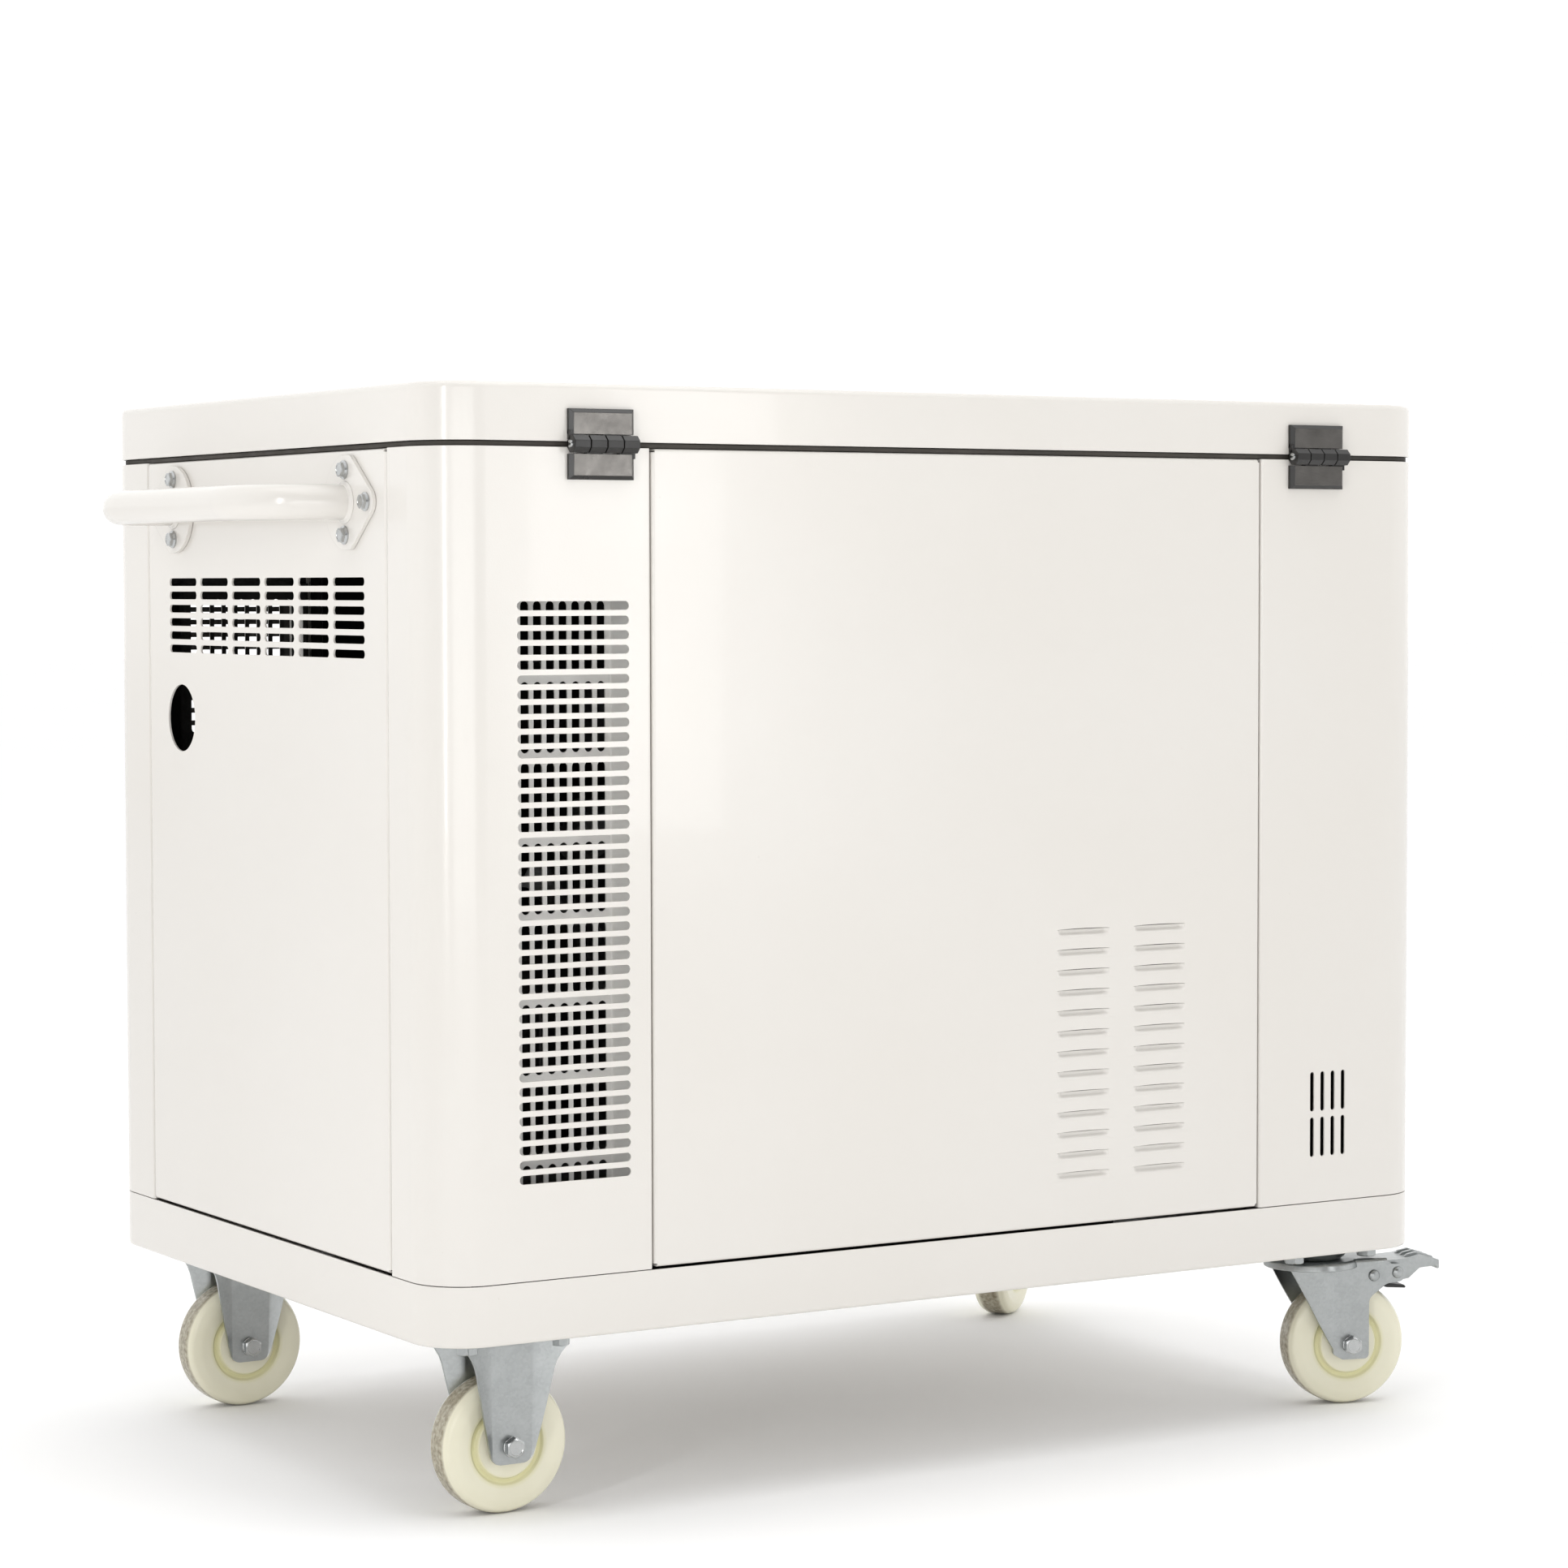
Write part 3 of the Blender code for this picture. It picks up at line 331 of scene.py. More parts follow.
def spangled(tree, colour):
    """Adds the crystal flakes of zinc plate."""
    cells = add_node(tree, "ShaderNodeTexVoronoi", {"Vector": object_place(tree), "Scale": 420.0})
    flake = add_node(tree, "ShaderNodeSeparateColor", {"Color": cells.outputs["Color"]}).outputs["Red"]
    return blend_colours(tree, spread(tree, flake, 0.0, 0.12, 0.0, 1.0), colour, (0.66, 0.68, 0.68))


def wheel_toned(tree, colour):
    """Makes the ring round the hub yellower, and dirties the tread, by the distance from the axle."""
    place = add_node(tree, "ShaderNodeSeparateXYZ", {0: object_place(tree)})
    flat = add_node(tree, "ShaderNodeCombineXYZ", {"X": place.outputs["X"], "Y": place.outputs["Z"]})
    radius = add_node(tree, "ShaderNodeVectorMath", {0: flat.outputs[0]}, operation="LENGTH").outputs["Value"]
    inner = spread(tree, radius, 0.0, 1.0, *WHEEL_RING[0])
    outer = spread(tree, radius, 1.0, 0.0, *WHEEL_RING[1])
    toned = blend_colours(tree, product(tree, inner, outer), colour, (0.68, 0.65, 0.37))
    edge = spread(tree, radius, 0.0, 1.0, *WHEEL_TREAD)
    patchy = spread(tree, noise(tree, 260.0, 6.0), 0.55, 1.0)
    return blend_colours(tree, product(tree, edge, patchy), toned, (0.20, 0.165, 0.105))


def foam_pore_shaded(tree, colour):
    """Paints shade into the open pores of foam."""
    cells = add_node(tree, "ShaderNodeTexVoronoi", {"Vector": object_place(tree), "Scale": 600.0})
    pore = spread(tree, cells.outputs["Distance"], 0.8, 0.0, 0.1, 0.4)
    return blend_colours(tree, pore, colour, (0.006, 0.006, 0.006))


POWDER_COAT = recolour(finish("powder_coat", (0.708, 0.683, 0.645), (0.695, 0.667, 0.624), 0.20, patch=3.0,
                              grain=620.0, relief=0.05, coat=0.15), specked)
# Painted light: the baffle's coat is whiter than the powder coat, to make it look lit deep in its channel
# behind the grille
LIT_BAFFLE_COAT = finish("baffle_coat_painted_light", (0.930, 0.915, 0.885), (0.915, 0.900, 0.865), 0.45, patch=6.0,
                     relief=0.03)
ZINC = recolour(finish("zinc", (0.385, 0.400, 0.400), (0.335, 0.350, 0.350), 0.32, metallic=1.0, patch=40.0,
                       relief=0.03), spangled)
BRIGHT_ZINC = finish("bright_zinc", (0.49, 0.50, 0.50), (0.42, 0.43, 0.43), 0.24, metallic=1.0, patch=120.0)
BLACK_STEEL = finish("black_steel", (0.012, 0.011, 0.010), (0.008, 0.0075, 0.007), 0.30, relief=0.03)
BRUSHED = finish("brushed_face", (0.145, 0.138, 0.130), (0.105, 0.100, 0.094), 0.24, metallic=1.0, patch=60.0,
                 relief=0.04)
RUBBER = finish("rubber", (0.060, 0.052, 0.043), (0.040, 0.036, 0.030), 0.72, grain=900.0, relief=0.15)
NYLON = recolour(finish("nylon", (0.790, 0.762, 0.610), (0.760, 0.730, 0.570), 0.24, patch=22.0, relief=0.01),
                 wheel_toned)
CAST_ALLOY = finish("cast_alloy", (0.36, 0.36, 0.36), (0.27, 0.27, 0.27), 0.52, metallic=0.9, grain=420.0,
                    relief=0.35)
BLACK_PLASTIC = finish("black_plastic", (0.022, 0.022, 0.022), (0.014, 0.014, 0.014), 0.42, grain=1400.0,
                       relief=0.12)
HEAT_BLACK = finish("heat_black", (0.040, 0.036, 0.032), (0.020, 0.018, 0.016), 0.55, grain=500.0, relief=0.2)
RED_PLASTIC = finish("red_plastic", (0.52, 0.02, 0.015), (0.44, 0.015, 0.012), 0.30, relief=0.02)
BLUE_INSERT = finish("blue_insert", (0.03, 0.10, 0.30), (0.02, 0.08, 0.25), 0.45)
# Acoustic foam such sets have, kept near black so that it also paints the shade inside the cabinet
FOAM_AND_SHADE = recolour(finish("foam", (0.045, 0.045, 0.045), (0.030, 0.030, 0.030), 0.95, grain=500.0, relief=0.6),
                foam_pore_shaded)
WHITE_INK = finish("white_print", (0.80, 0.80, 0.78), (0.76, 0.76, 0.74), 0.45, relief=0.0)
GREEN_LENS = finish("green_lens", (0.02, 0.30, 0.06), (0.015, 0.24, 0.05), 0.12, relief=0.0, coat=0.5)
AMBER_LENS = finish("amber_lens", (0.60, 0.22, 0.02), (0.50, 0.17, 0.015), 0.12, relief=0.0, coat=0.5)
BRASS = finish("brass", (0.70, 0.52, 0.24), (0.60, 0.43, 0.18), 0.30, metallic=1.0)
# Painted shade: a near-black finish for the inner faces of the sheets, so that the inside of the cabinet
# looks dark through the slots
SHADE_LINING = finish("inner_painted_shade", (0.050, 0.048, 0.045), (0.035, 0.034, 0.032), 0.95, patch=30.0, relief=0.4)
CLEAR_DARK = finish("meter_glass", (0.02, 0.025, 0.022), (0.015, 0.018, 0.016), 0.08, relief=0.0)


# -------------------------------------------------------------------------------- mesh tools


def piece(name, source, finishes, body="cabinet", stands_for=(), place=(0.0, 0.0, 0.0),
          spin=0.0, edge=0.0, sharp=38.0):
    """Makes one object from a bmesh, rounds its edges, and makes it ride on a body."""
    bmesh.ops.recalc_face_normals(source, faces=source.faces[:])
    mesh = bpy.data.meshes.new(name)
    source.to_mesh(mesh)
    source.free()
    mesh.shade_smooth()
    mesh.set_sharp_from_angle(angle=math.radians(sharp))
    item = bpy.data.objects.new(name, mesh)
    item.location = place
    item.rotation_euler[2] = math.radians(spin)
    bpy.context.scene.collection.objects.link(item)
    for one in finishes:
        mesh.materials.append(one)
    if edge:
        round_edges(item, edge)
    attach(item, body)
    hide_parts(*stands_for)
    return item


def round_edges(item, width):
    """Rounds an object's sharp edges."""
    bevel = item.modifiers.new("edges", "BEVEL")
    bevel.width = width
    bevel.segments = 2
    bevel.limit_method = "ANGLE"
    bevel.angle_limit = math.radians(38.0)
    shading = item.modifiers.new("shading", "WEIGHTED_NORMAL")
    shading.keep_sharp = True


def loft(source, rings, closed=False, caps=True):
    """Joins rings of equal length into one skin, closed onto the first ring or by a face at each end."""
    rows = [[source.verts.new(point) for point in ring] for ring in rings]
    count = len(rows[0])
    following = rows[1:] + rows[:1] if closed else rows[1:]
    for low, high in zip(rows, following):
        for i in range(count):
            j = (i + 1) % count
            source.faces.new((low[i], low[j], high[j], high[i]))
    if caps and not closed:
        source.faces.new(list(reversed(rows[0])))
        source.faces.new(rows[-1])
    return source


def circle(sides, offset=0.0):
    """Gives evenly spaced angles round a circle."""
    return [2 * math.pi * (k + offset) / sides for k in range(sides)]


def ring(centre, axis, radius, sides=48):
    """Gives the points of a circle round an axis."""
    turn = Vector((0.0, 0.0, 1.0)).rotation_difference(Vector(axis)).to_matrix()
    flat = [Vector((radius * math.cos(a), radius * math.sin(a), 0.0)) for a in circle(sides, 0.5)]
    return [Vector(centre) + turn @ point for point in flat]


def turned(source, profile, centre, axis, sides=48, closed=False):
    """Spins (radius, distance) points round an axis; an open profile is capped, a closed one has a bore."""
    rings = []
    for radius, distance in profile:
        rings.append(ring(Vector(centre) + Vector(axis) * distance, axis, radius, sides))
    return loft(source, rings, closed=closed)


def fillet(corners, steps=6, closed=True):
    """Rounds each (x, y, radius) corner of an outline with an arc."""
    points = []
    count = len(corners)
    for i, (x, y, radius) in enumerate(corners):
        here = Vector((x, y))
        if not radius or (not closed and i in (0, count - 1)):
            points.append(here)
            continue
        before = (Vector(corners[i - 1][:2]) - here).normalized()
        after = (Vector(corners[(i + 1) % count][:2]) - here).normalized()
        half = before.angle(after) / 2
        centre = here + (before + after).normalized() * radius / math.sin(half)
        first = here + before * radius / math.tan(half) - centre
        last = here + after * radius / math.tan(half) - centre
        start = math.atan2(first.y, first.x)
        sweep = (math.atan2(last.y, last.x) - start + math.pi) % (2 * math.pi) - math.pi
        for k in range(steps + 1):
            angle = start + sweep * k / steps
            points.append(centre + radius * Vector((math.cos(angle), math.sin(angle))))
    return points


def prism(source, outline, direction, length):
    """Extrudes a flat outline of 3-D points by a length along a direction."""
    shift = Vector(direction) * length
    return loft(source, [[Vector(p) for p in outline], [Vector(p) + shift for p in outline]])


def side_prism(source, outline, y, width):
    """Extrudes an outline of (x, z) points from y by a width along Y, which may be negative."""
    return prism(source, [(x, y, z) for x, z in outline], (0, 1, 0), width)


def block(source, low, high):
    """Adds a box between two corners."""
    x0, y0, z0 = low
    x1, y1, z1 = high
    return prism(source, [(x0, y0, z0), (x1, y0, z0), (x1, y1, z0), (x0, y1, z0)], (0, 0, 1), z1 - z0)


def hex_head(source, centre, axis, across, height, flange=0.0):
    """Adds a hexagon head or nut with chamfered corners, on a round flange if it has one."""
    turn = Vector((0.0, 0.0, 1.0)).rotation_difference(Vector(axis)).to_matrix()
    apothem = across / 2
    top = apothem * 0.93

    def level(heights):
        points = []
        for angle in circle(36):
            corner = (angle + math.pi / 6) % (math.pi / 3) - math.pi / 6
            radius, distance = heights(apothem / math.cos(corner))
            flat = Vector((radius * math.cos(angle), radius * math.sin(angle), distance))
            points.append(Vector(centre) + turn @ flat)
        return points

    rings = [level(lambda r: (r, 0.0))]
    if flange:
        rings = [level(lambda r: (flange, 0.0)), level(lambda r: (flange, 0.0012))]
        rings.append(level(lambda r: (r, 0.0026)))
    rings.append(level(lambda r: (r, height - (r - top) * 0.6)))
    rings.append(level(lambda r: (top, height)))
    rings.append(level(lambda r: (top * 0.86, height)))
    rings.append(level(lambda r: (top * 0.82, height - 0.0003)))
    return loft(source, rings)


def centre_of(node):
    """Gives the centre of a node's box."""
    low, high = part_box(node)
    return (low + high) / 2


def smooth_step(value):
    """Eases a value between 0 and 1."""
    value = min(max(value, 0.0), 1.0)
    return value * value * (3 - 2 * value)


def rounded_rectangle(half_x, half_y, radius, z, per_corner=12):
    """Gives the points of a level rectangle with round corners."""
    points = []
    for corner, (sx, sy) in enumerate(((1, 1), (-1, 1), (-1, -1), (1, -1))):
        for k in range(per_corner + 1):
            angle = math.radians(90.0 * (corner + k / per_corner))
            x = sx * (half_x - radius) + radius * math.cos(angle)
            y = sy * (half_y - radius) + radius * math.sin(angle)
            points.append(Vector((x, y, z)))
    return points


def cabinet_ring(inset, z):
    """Gives the outline of the cabinet at a height, a distance inside its outer faces."""
    return rounded_rectangle(HALF_L - inset, HALF_W - inset, CORNER - inset, z)


def route(start, heading, pieces):
    """Follows (length, turn in degrees) pieces in a plane.

    Gives a function from a length to the point there and its left-hand normal, and the lengths of the breaks.
    """
    spans = []
    point = Vector(start)
    angle = math.radians(heading)
    travelled = 0.0
    breaks = [0.0]
    for length, turn in pieces:
        turn = math.radians(turn)
        spans.append((travelled, length, point.copy(), angle, turn))
        steps = max(1, round(abs(turn) / math.radians(BEND_STEP)))
        breaks += [travelled + length * (k + 1) / steps for k in range(steps)]
        if turn:
            radius = length / turn
            move = (math.sin(angle + turn) - math.sin(angle), math.cos(angle) - math.cos(angle + turn))
            point = point + radius * Vector(move)
        else:
            point = point + length * Vector((math.cos(angle), math.sin(angle)))
        angle += turn
        travelled += length

    def at(distance):
        began, length, origin, start_angle, turn = [s for s in spans if s[0] <= distance + 1e-9][-1]
        here = start_angle
        if turn:
            radius = length / turn
            here = start_angle + (distance - began) / radius
            move = (math.sin(here) - math.sin(start_angle), math.cos(start_angle) - math.cos(here))
            place = origin + radius * Vector(move)
        else:
            place = origin + (distance - began) * Vector((math.cos(here), math.sin(here)))
        return place, Vector((-math.sin(here), math.cos(here)))

    return at, breaks


def bend(radius, degrees=90.0):
    """Gives the piece of a route that is an arc."""
    return radius * math.radians(abs(degrees)), degrees


# ------------------------------------------------------------------------------- sheet metal


def slot(centre, length, width, upright=False, per_end=8):
    """Gives the outline of a slot with round ends, lying flat or upright."""
    reach = (length - width) / 2
    points = []
    for end in (0, 1):
        for k in range(per_end + 1):
            angle = math.pi * (k / per_end + end) - math.pi / 2
            x = reach * (1 - 2 * end) + width / 2 * math.cos(angle)
            y = width / 2 * math.sin(angle)
            points.append((centre[0] - y, centre[1] + x) if upright else (centre[0] + x, centre[1] + y))
    return points


def press_louvre(flat, centre):
    """Adds a stretch of sheet pressed inward below a slit, and gives the loop round it and the slit."""
    columns, rows = LOUVRE_CELLS
    grid = []
    for i in range(columns + 1):
        along = LOUVRE_LENGTH * (0.5 - 0.5 * math.cos(math.pi * i / columns))
        ends = smooth_step(min(along, LOUVRE_LENGTH - along) / LOUVRE_RAMP)
        column = []
        for j in range(rows + 1):
            rise = smooth_step(j / rows / 0.62)
            x = centre[0] - LOUVRE_LENGTH / 2 + along
            y = centre[1] - LOUVRE_HEIGHT * (1 - j / rows)
            column.append(flat.verts.new((x, y, LOUVRE_DEPTH * rise * ends)))
        grid.append(column)
    for left, right in zip(grid, grid[1:]):
        for j in range(rows):
            flat.faces.new((left[j], right[j], right[j + 1], left[j + 1]))
    loop = list(reversed(grid[0])) + [column[0] for column in grid[1:-1]] + grid[-1]
    for column in reversed(grid[1:-1]):
        top = column[-1].co
        share = (top.x - centre[0]) / LOUVRE_LENGTH + 0.5
        loop.append(flat.verts.new((top.x, top.y + LOUVRE_SLIT * math.sin(math.pi * share) ** 0.5, 0.0)))
    return loop


def dividers(values, margin, low=-math.inf, high=math.inf):
    """Gives the lines halfway between neighbouring values, and a margin outside the first and last."""
    ordered = sorted({round(value, 6) for value in values})
    between = [(a + b) / 2 for a, b in zip(ordered, ordered[1:])]
    return [line for line in (ordered[0] - margin, *between, ordered[-1] + margin) if low < line < high]


def middle_of(loop):
    """Gives the centre of the box round a loop of points."""
    return [(min(values) + max(values)) / 2 for values in zip(*loop)]


def blank(breaks_u, breaks_v, skip=lambda *edges: False, holes=(), presses=()):
    """Lays out a flat sheet as a grid of cells, some left out, with each hole or louvre inside one cell."""
    flat = bmesh.new()
    grid = {}

    def vertex(u, v):
        key = (round(u, 7), round(v, 7))
        if key not in grid:
            grid[key] = flat.verts.new((u, v, 0.0))
        return grid[key]

    for u0, u1 in zip(breaks_u, breaks_u[1:]):
        for v0, v1 in zip(breaks_v, breaks_v[1:]):
            if skip(u0, u1, v0, v1):
                continue

            def inside(point):
                return u0 < point[0] < u1 and v0 < point[1] < v1

            corners = [vertex(u0, v0), vertex(u1, v0), vertex(u1, v1), vertex(u0, v1)]
            loops = []
            for hole in holes:
                if inside(middle_of(hole)):
                    loops.append([flat.verts.new((x, y, 0.0)) for x, y in hole])
            loops += [press_louvre(flat, centre) for centre in presses if inside(centre)]
            if not loops:
                flat.faces.new(corners)
                continue
            edges = []
            for loop in [corners, *loops]:
                for a, b in zip(loop, loop[1:] + loop[:1]):
                    edges.append(flat.edges.get((a, b)) or flat.edges.new((a, b)))
            bmesh.ops.triangle_fill(flat, edges=edges, use_beauty=True, normal=(0.0, 0.0, 1.0))
    flat.normal_update()
    for face in flat.faces:
        if face.normal.z < 0:
            face.normal_flip()
    return flat


def folded(flat, at_u, at_v, wall, thickness=SHEET):
    """Folds a flat sheet along both routes and thickens it, as one closed skin whose inner face takes painted
    shade.
    """
    source = bmesh.new()
    outer, inner = {}, {}
    for vert in flat.verts:
        place_u, normal_u = at_u(vert.co.x)
        place_v, normal_v = at_v(vert.co.y)
        for table, depth in ((outer, vert.co.z), (inner, vert.co.z + thickness)):
            along = place_u.x + depth * normal_u.x
            inward = place_u.y + place_v.y + depth * normal_u.y * normal_v.y
            up = place_v.x + depth * normal_v.x
            table[vert] = source.verts.new(wall @ Vector((along, inward, up)))
    for face in flat.faces:
        source.faces.new([outer[v] for v in face.verts])
        shaded_inner = source.faces.new([inner[v] for v in reversed(face.verts)])
        shaded_inner.material_index = 1
    for edge in flat.edges:
        if len(edge.link_faces) == 1:
            a, b = edge.verts
            source.faces.new((outer[a], outer[b], inner[b], inner[a]))
    flat.free()
    return source


def wall_frame(degrees, half_depth):
    """Gives the frame of a cabinet wall: along it, inward and up."""
    return Matrix.Rotation(math.radians(degrees), 4, "Z") @ Matrix.Translation((0.0, -half_depth, 0.0))


def span_of(node, side):
    """Gives a node's stretch along its wall, as seen with the wall's outside in front."""
    low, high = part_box(node)
    spans = {0.0: (low.x, high.x), 180.0: (-high.x, -low.x), 90.0: (low.y, high.y), -90.0: (-high.y, -low.y)}
    return spans[side]


def panel(node, side, half_depth, holes=(), presses=(), lines=((), ())):
    """Makes a flat panel with four folded edges, divided along lines between its holes."""
    low, high = span_of(node, side)
    z_low, z_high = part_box(node)[0].z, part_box(node)[1].z
    edge = [(FLANGE, 0.0), bend(FOLD)]
    across = [*edge, (high - low - 2 * FOLD, 0.0), *reversed(edge)]
    upward = [*edge, (z_high - z_low - 2 * FOLD, 0.0), *reversed(edge)]
    at_u, breaks_u = route((low, FLANGE + FOLD), -90.0, across)
    at_v, breaks_v = route((z_low, FLANGE + FOLD), -90.0, upward)
    first = FLANGE + FOLD * math.pi / 2
    last_u, last_v = breaks_u[-1] - first, breaks_v[-1] - first

    def corner(u0, u1, v0, v1):
        return (u0 < first - 1e-6 or u1 > last_u + 1e-6) and (v0 < first - 1e-6 or v1 > last_v + 1e-6)

    shift = Vector((first - low - FOLD, first - z_low - FOLD))
    moved = [[(x + shift.x, z + shift.y) for x, z in hole] for hole in holes]
    centres = [(x + shift.x, z + shift.y) for x, z in presses]
    breaks_u = sorted(breaks_u + [line + shift.x for line in lines[0]])
    breaks_v = sorted(breaks_v + [line + shift.y for line in lines[1]])
    flat = blank(breaks_u, breaks_v, corner, moved, centres)
    sheet = folded(flat, at_u, at_v, wall_frame(side, half_depth))
    piece(f"{node}_sheet", sheet, [POWDER_COAT, SHADE_LINING], stands_for=[node], edge=EDGE)


def post(node, side, half_depth, before, after, first_face=(), second_face=(), spare=0.0):
    """Makes a corner post: folded edge, first face, round corner, second face, folded edge.

    before and after are the widths of the two faces, from the cabinet's outer corner. Each list has the holes
    of one face, at places along its own wall; spare is the extra plain sheet kept above and below them.
    """
    pieces = [
        (FLANGE, 0.0),
        bend(FOLD),
        (before - CORNER - FOLD, 0.0),
        bend(CORNER),
        (after - CORNER - FOLD, 0.0),
        bend(FOLD),
        (FLANGE, 0.0),
    ]
    other_half = HALF_L + HALF_W - half_depth
    at_u, breaks_u = route((-other_half + FLANGE + FOLD, before), 180.0, pieces)
    at_v, breaks_v = route((BODY_BOTTOM, 0.0), 0.0, [(BODY_TOP - BODY_BOTTOM, 0.0)])
    fold_steps = round(90.0 / BEND_STEP)
    if first_face:
        start = breaks_u[2 + fold_steps] - (half_depth - CORNER)
    else:
        start = breaks_u[-3 - fold_steps] - (-other_half + CORNER)
    holes = [[(x + start, z - BODY_BOTTOM) for x, z in hole] for hole in first_face or second_face]
    if holes:
        across, along = zip(*[middle_of(hole) for hole in holes])
        breaks_v = sorted(breaks_v + dividers(along, GRILLE_PITCH / 2 + spare))
        if len({round(value, 6) for value in across}) > 1:
            breaks_u = sorted(breaks_u + dividers(across, DRAIN_PITCH))
    flat = blank(breaks_u, breaks_v, holes=holes)
    sheet = folded(flat, at_u, at_v, wall_frame(side, half_depth))
    piece(f"{node}_sheet", sheet, [POWDER_COAT, SHADE_LINING], stands_for=[node], edge=EDGE)


def make_posts():
    """Makes the four corner posts, two with an intake grille and one with drain slots."""
    middle = (GRILLE_FROM + GRILLE_TO) / 2
    heights = [GRILLE_TOP - GRILLE_PITCH * k for k in range(GRILLE_SLOTS)]
    grille = [slot((middle, z), GRILLE_TO - GRILLE_FROM, GRILLE_SLOT) for z in heights]
    mirrored_grille = [slot((-middle, z), GRILLE_TO - GRILLE_FROM, GRILLE_SLOT) for z in heights]
    drains = [slot((DRAIN_FIRST + DRAIN_PITCH * k, z), DRAIN_LENGTH, DRAIN_SLOT, upright=True)
              for k in range(DRAIN_COLUMNS) for z in DRAIN_ROWS]
    low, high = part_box("post_rear_left")
    at_left, at_rear = high.x + HALF_L, high.y + HALF_W
    low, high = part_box("post_front_right")
    at_right, at_front = HALF_L - low.x, HALF_W - low.y
    post("post_rear_left", 0.0, HALF_W, at_rear, at_left, second_face=grille)
    post("post_rear_right", 90.0, HALF_L, at_right, at_rear, first_face=drains, spare=DRAIN_LENGTH / 2)
    post("post_front_right", 180.0, HALF_W, at_front, at_right)
    post("post_front_left", -90.0, HALF_L, at_left, at_front, first_face=mirrored_grille)


def end_slots(first, columns):
    """Gives the slots of an end panel and the lines that divide the sheet between them."""
    slots = [slot((first + END_SLOT_STEP * i, END_SLOT_TOP - END_SLOT_PITCH * j), END_SLOT_LENGTH, END_SLOT)
             for i in columns for j in range(END_SLOT_ROWS)]
    across, along = zip(*[middle_of(hole) for hole in slots])
    return slots, (dividers(across, END_SLOT_LENGTH * 0.61), dividers(along, END_SLOT_PITCH / 2))


def make_panels():
    """Makes the four panels: louvres behind, slots at both ends, and the window of the controls in front."""
    louvres = [(x, LOUVRE_TOP - LOUVRE_PITCH * k) for x in LOUVRE_COLUMNS for k in range(LOUVRE_ROWS)]
    heights = [z for x, z in louvres]
    louvre_lines = (dividers(LOUVRE_COLUMNS, LOUVRE_LENGTH * 0.7), dividers(heights, LOUVRE_PITCH / 2))
    panel("rear_panel", 0.0, HALF_W, presses=louvres, lines=louvre_lines)

    low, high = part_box("control_panel")
    left, right = -high.x + PANEL_RIM, -low.x - PANEL_RIM
    bottom, top = low.z + PANEL_RIM, high.z - PANEL_RIM
    corners = ((left, bottom), (right, bottom), (right, top), (left, top))
    panel("front_panel", 180.0, HALF_W, [fillet([(x, z, PANEL_CORNER) for x, z in corners])])

    inlets, inlet_lines = end_slots(-END_SLOT_FIRST, range(0, -END_SLOT_COLUMNS, -1))
    across, up = PORT
    port = [(-across + PORT_RADIUS * math.cos(a), up + PORT_RADIUS * math.sin(a)) for a in circle(PORT_SIDES)]
    panel("left_end_panel", -90.0, HALF_L, [*inlets, port], lines=inlet_lines)
    outlets, outlet_lines = end_slots(0.0, range(-1, 2))
    panel("right_end_panel", 90.0, HALF_L, outlets, lines=outlet_lines)


def make_baffle(node, side):
    """Makes the channel behind a grille: a perforated face set back from the post, with two side walls."""
    low, high = span_of(node, side)
    box_low, box_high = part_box(node)
    deep = box_high.y - box_low.y
    start_depth = HALF_W - max(abs(box_low.y), abs(box_high.y))
    pieces = [
        (deep - BAFFLE_BEND, 0.0),
        bend(BAFFLE_BEND, -90.0),
        (high - low - 2 * BAFFLE_BEND, 0.0),
        bend(BAFFLE_BEND, -90.0),
        (deep - BAFFLE_BEND, 0.0),
    ]
    at_u, breaks_u = route((low, start_depth), 90.0, pieces)
    at_v, breaks_v = route((box_low.z, 0.0), 0.0, [(box_high.z - box_low.z, 0.0)])
    cell = len(breaks_u) // 2 - 1
    holes = []
    for i in range(BAFFLE_COLUMNS):
        inset = BAFFLE_LAST - BAFFLE_BEND + BAFFLE_PITCH * i
        u = breaks_u[cell] + inset if side else breaks_u[cell + 1] - inset
        for j in range(BAFFLE_ROWS):
            v = GRILLE_TOP + BAFFLE_RISE - BAFFLE_STEP * j - box_low.z
            holes.append(slot((u, v), BAFFLE_SLOT_LENGTH, BAFFLE_SLOT, upright=True))
    across, along = zip(*[middle_of(hole) for hole in holes])
    margin = 0.001
    limits = (breaks_u[cell] + margin, breaks_u[cell + 1] - margin)
    breaks_u = sorted(breaks_u + dividers(across, BAFFLE_PITCH / 2, *limits))
    limits = (breaks_v[0] + margin, breaks_v[-1] - margin)
    breaks_v = sorted(breaks_v + dividers(along, BAFFLE_STEP / 2, *limits))
    flat = blank(breaks_u, breaks_v, holes=holes)
    sheet = folded(flat, at_u, at_v, wall_frame(side, HALF_W), BAFFLE_SHEET)
    # The whiter coat paints light on the baffle; its inner face takes the painted shade
    piece(f"{node}_sheet", sheet, [LIT_BAFFLE_COAT, SHADE_LINING], stands_for=[node])


def rounded_rim(radius, steps, height):
    """Gives the cabinet rings of a rounded edge; height(share) is a ring's height at a share of radius."""
    rings = []
    for step in range(steps + 1):
        angle = math.radians(90.0 * step / steps)
        rings.append(cabinet_ring(radius * (1 - math.cos(angle)), height(1 - math.sin(angle))))
    return rings


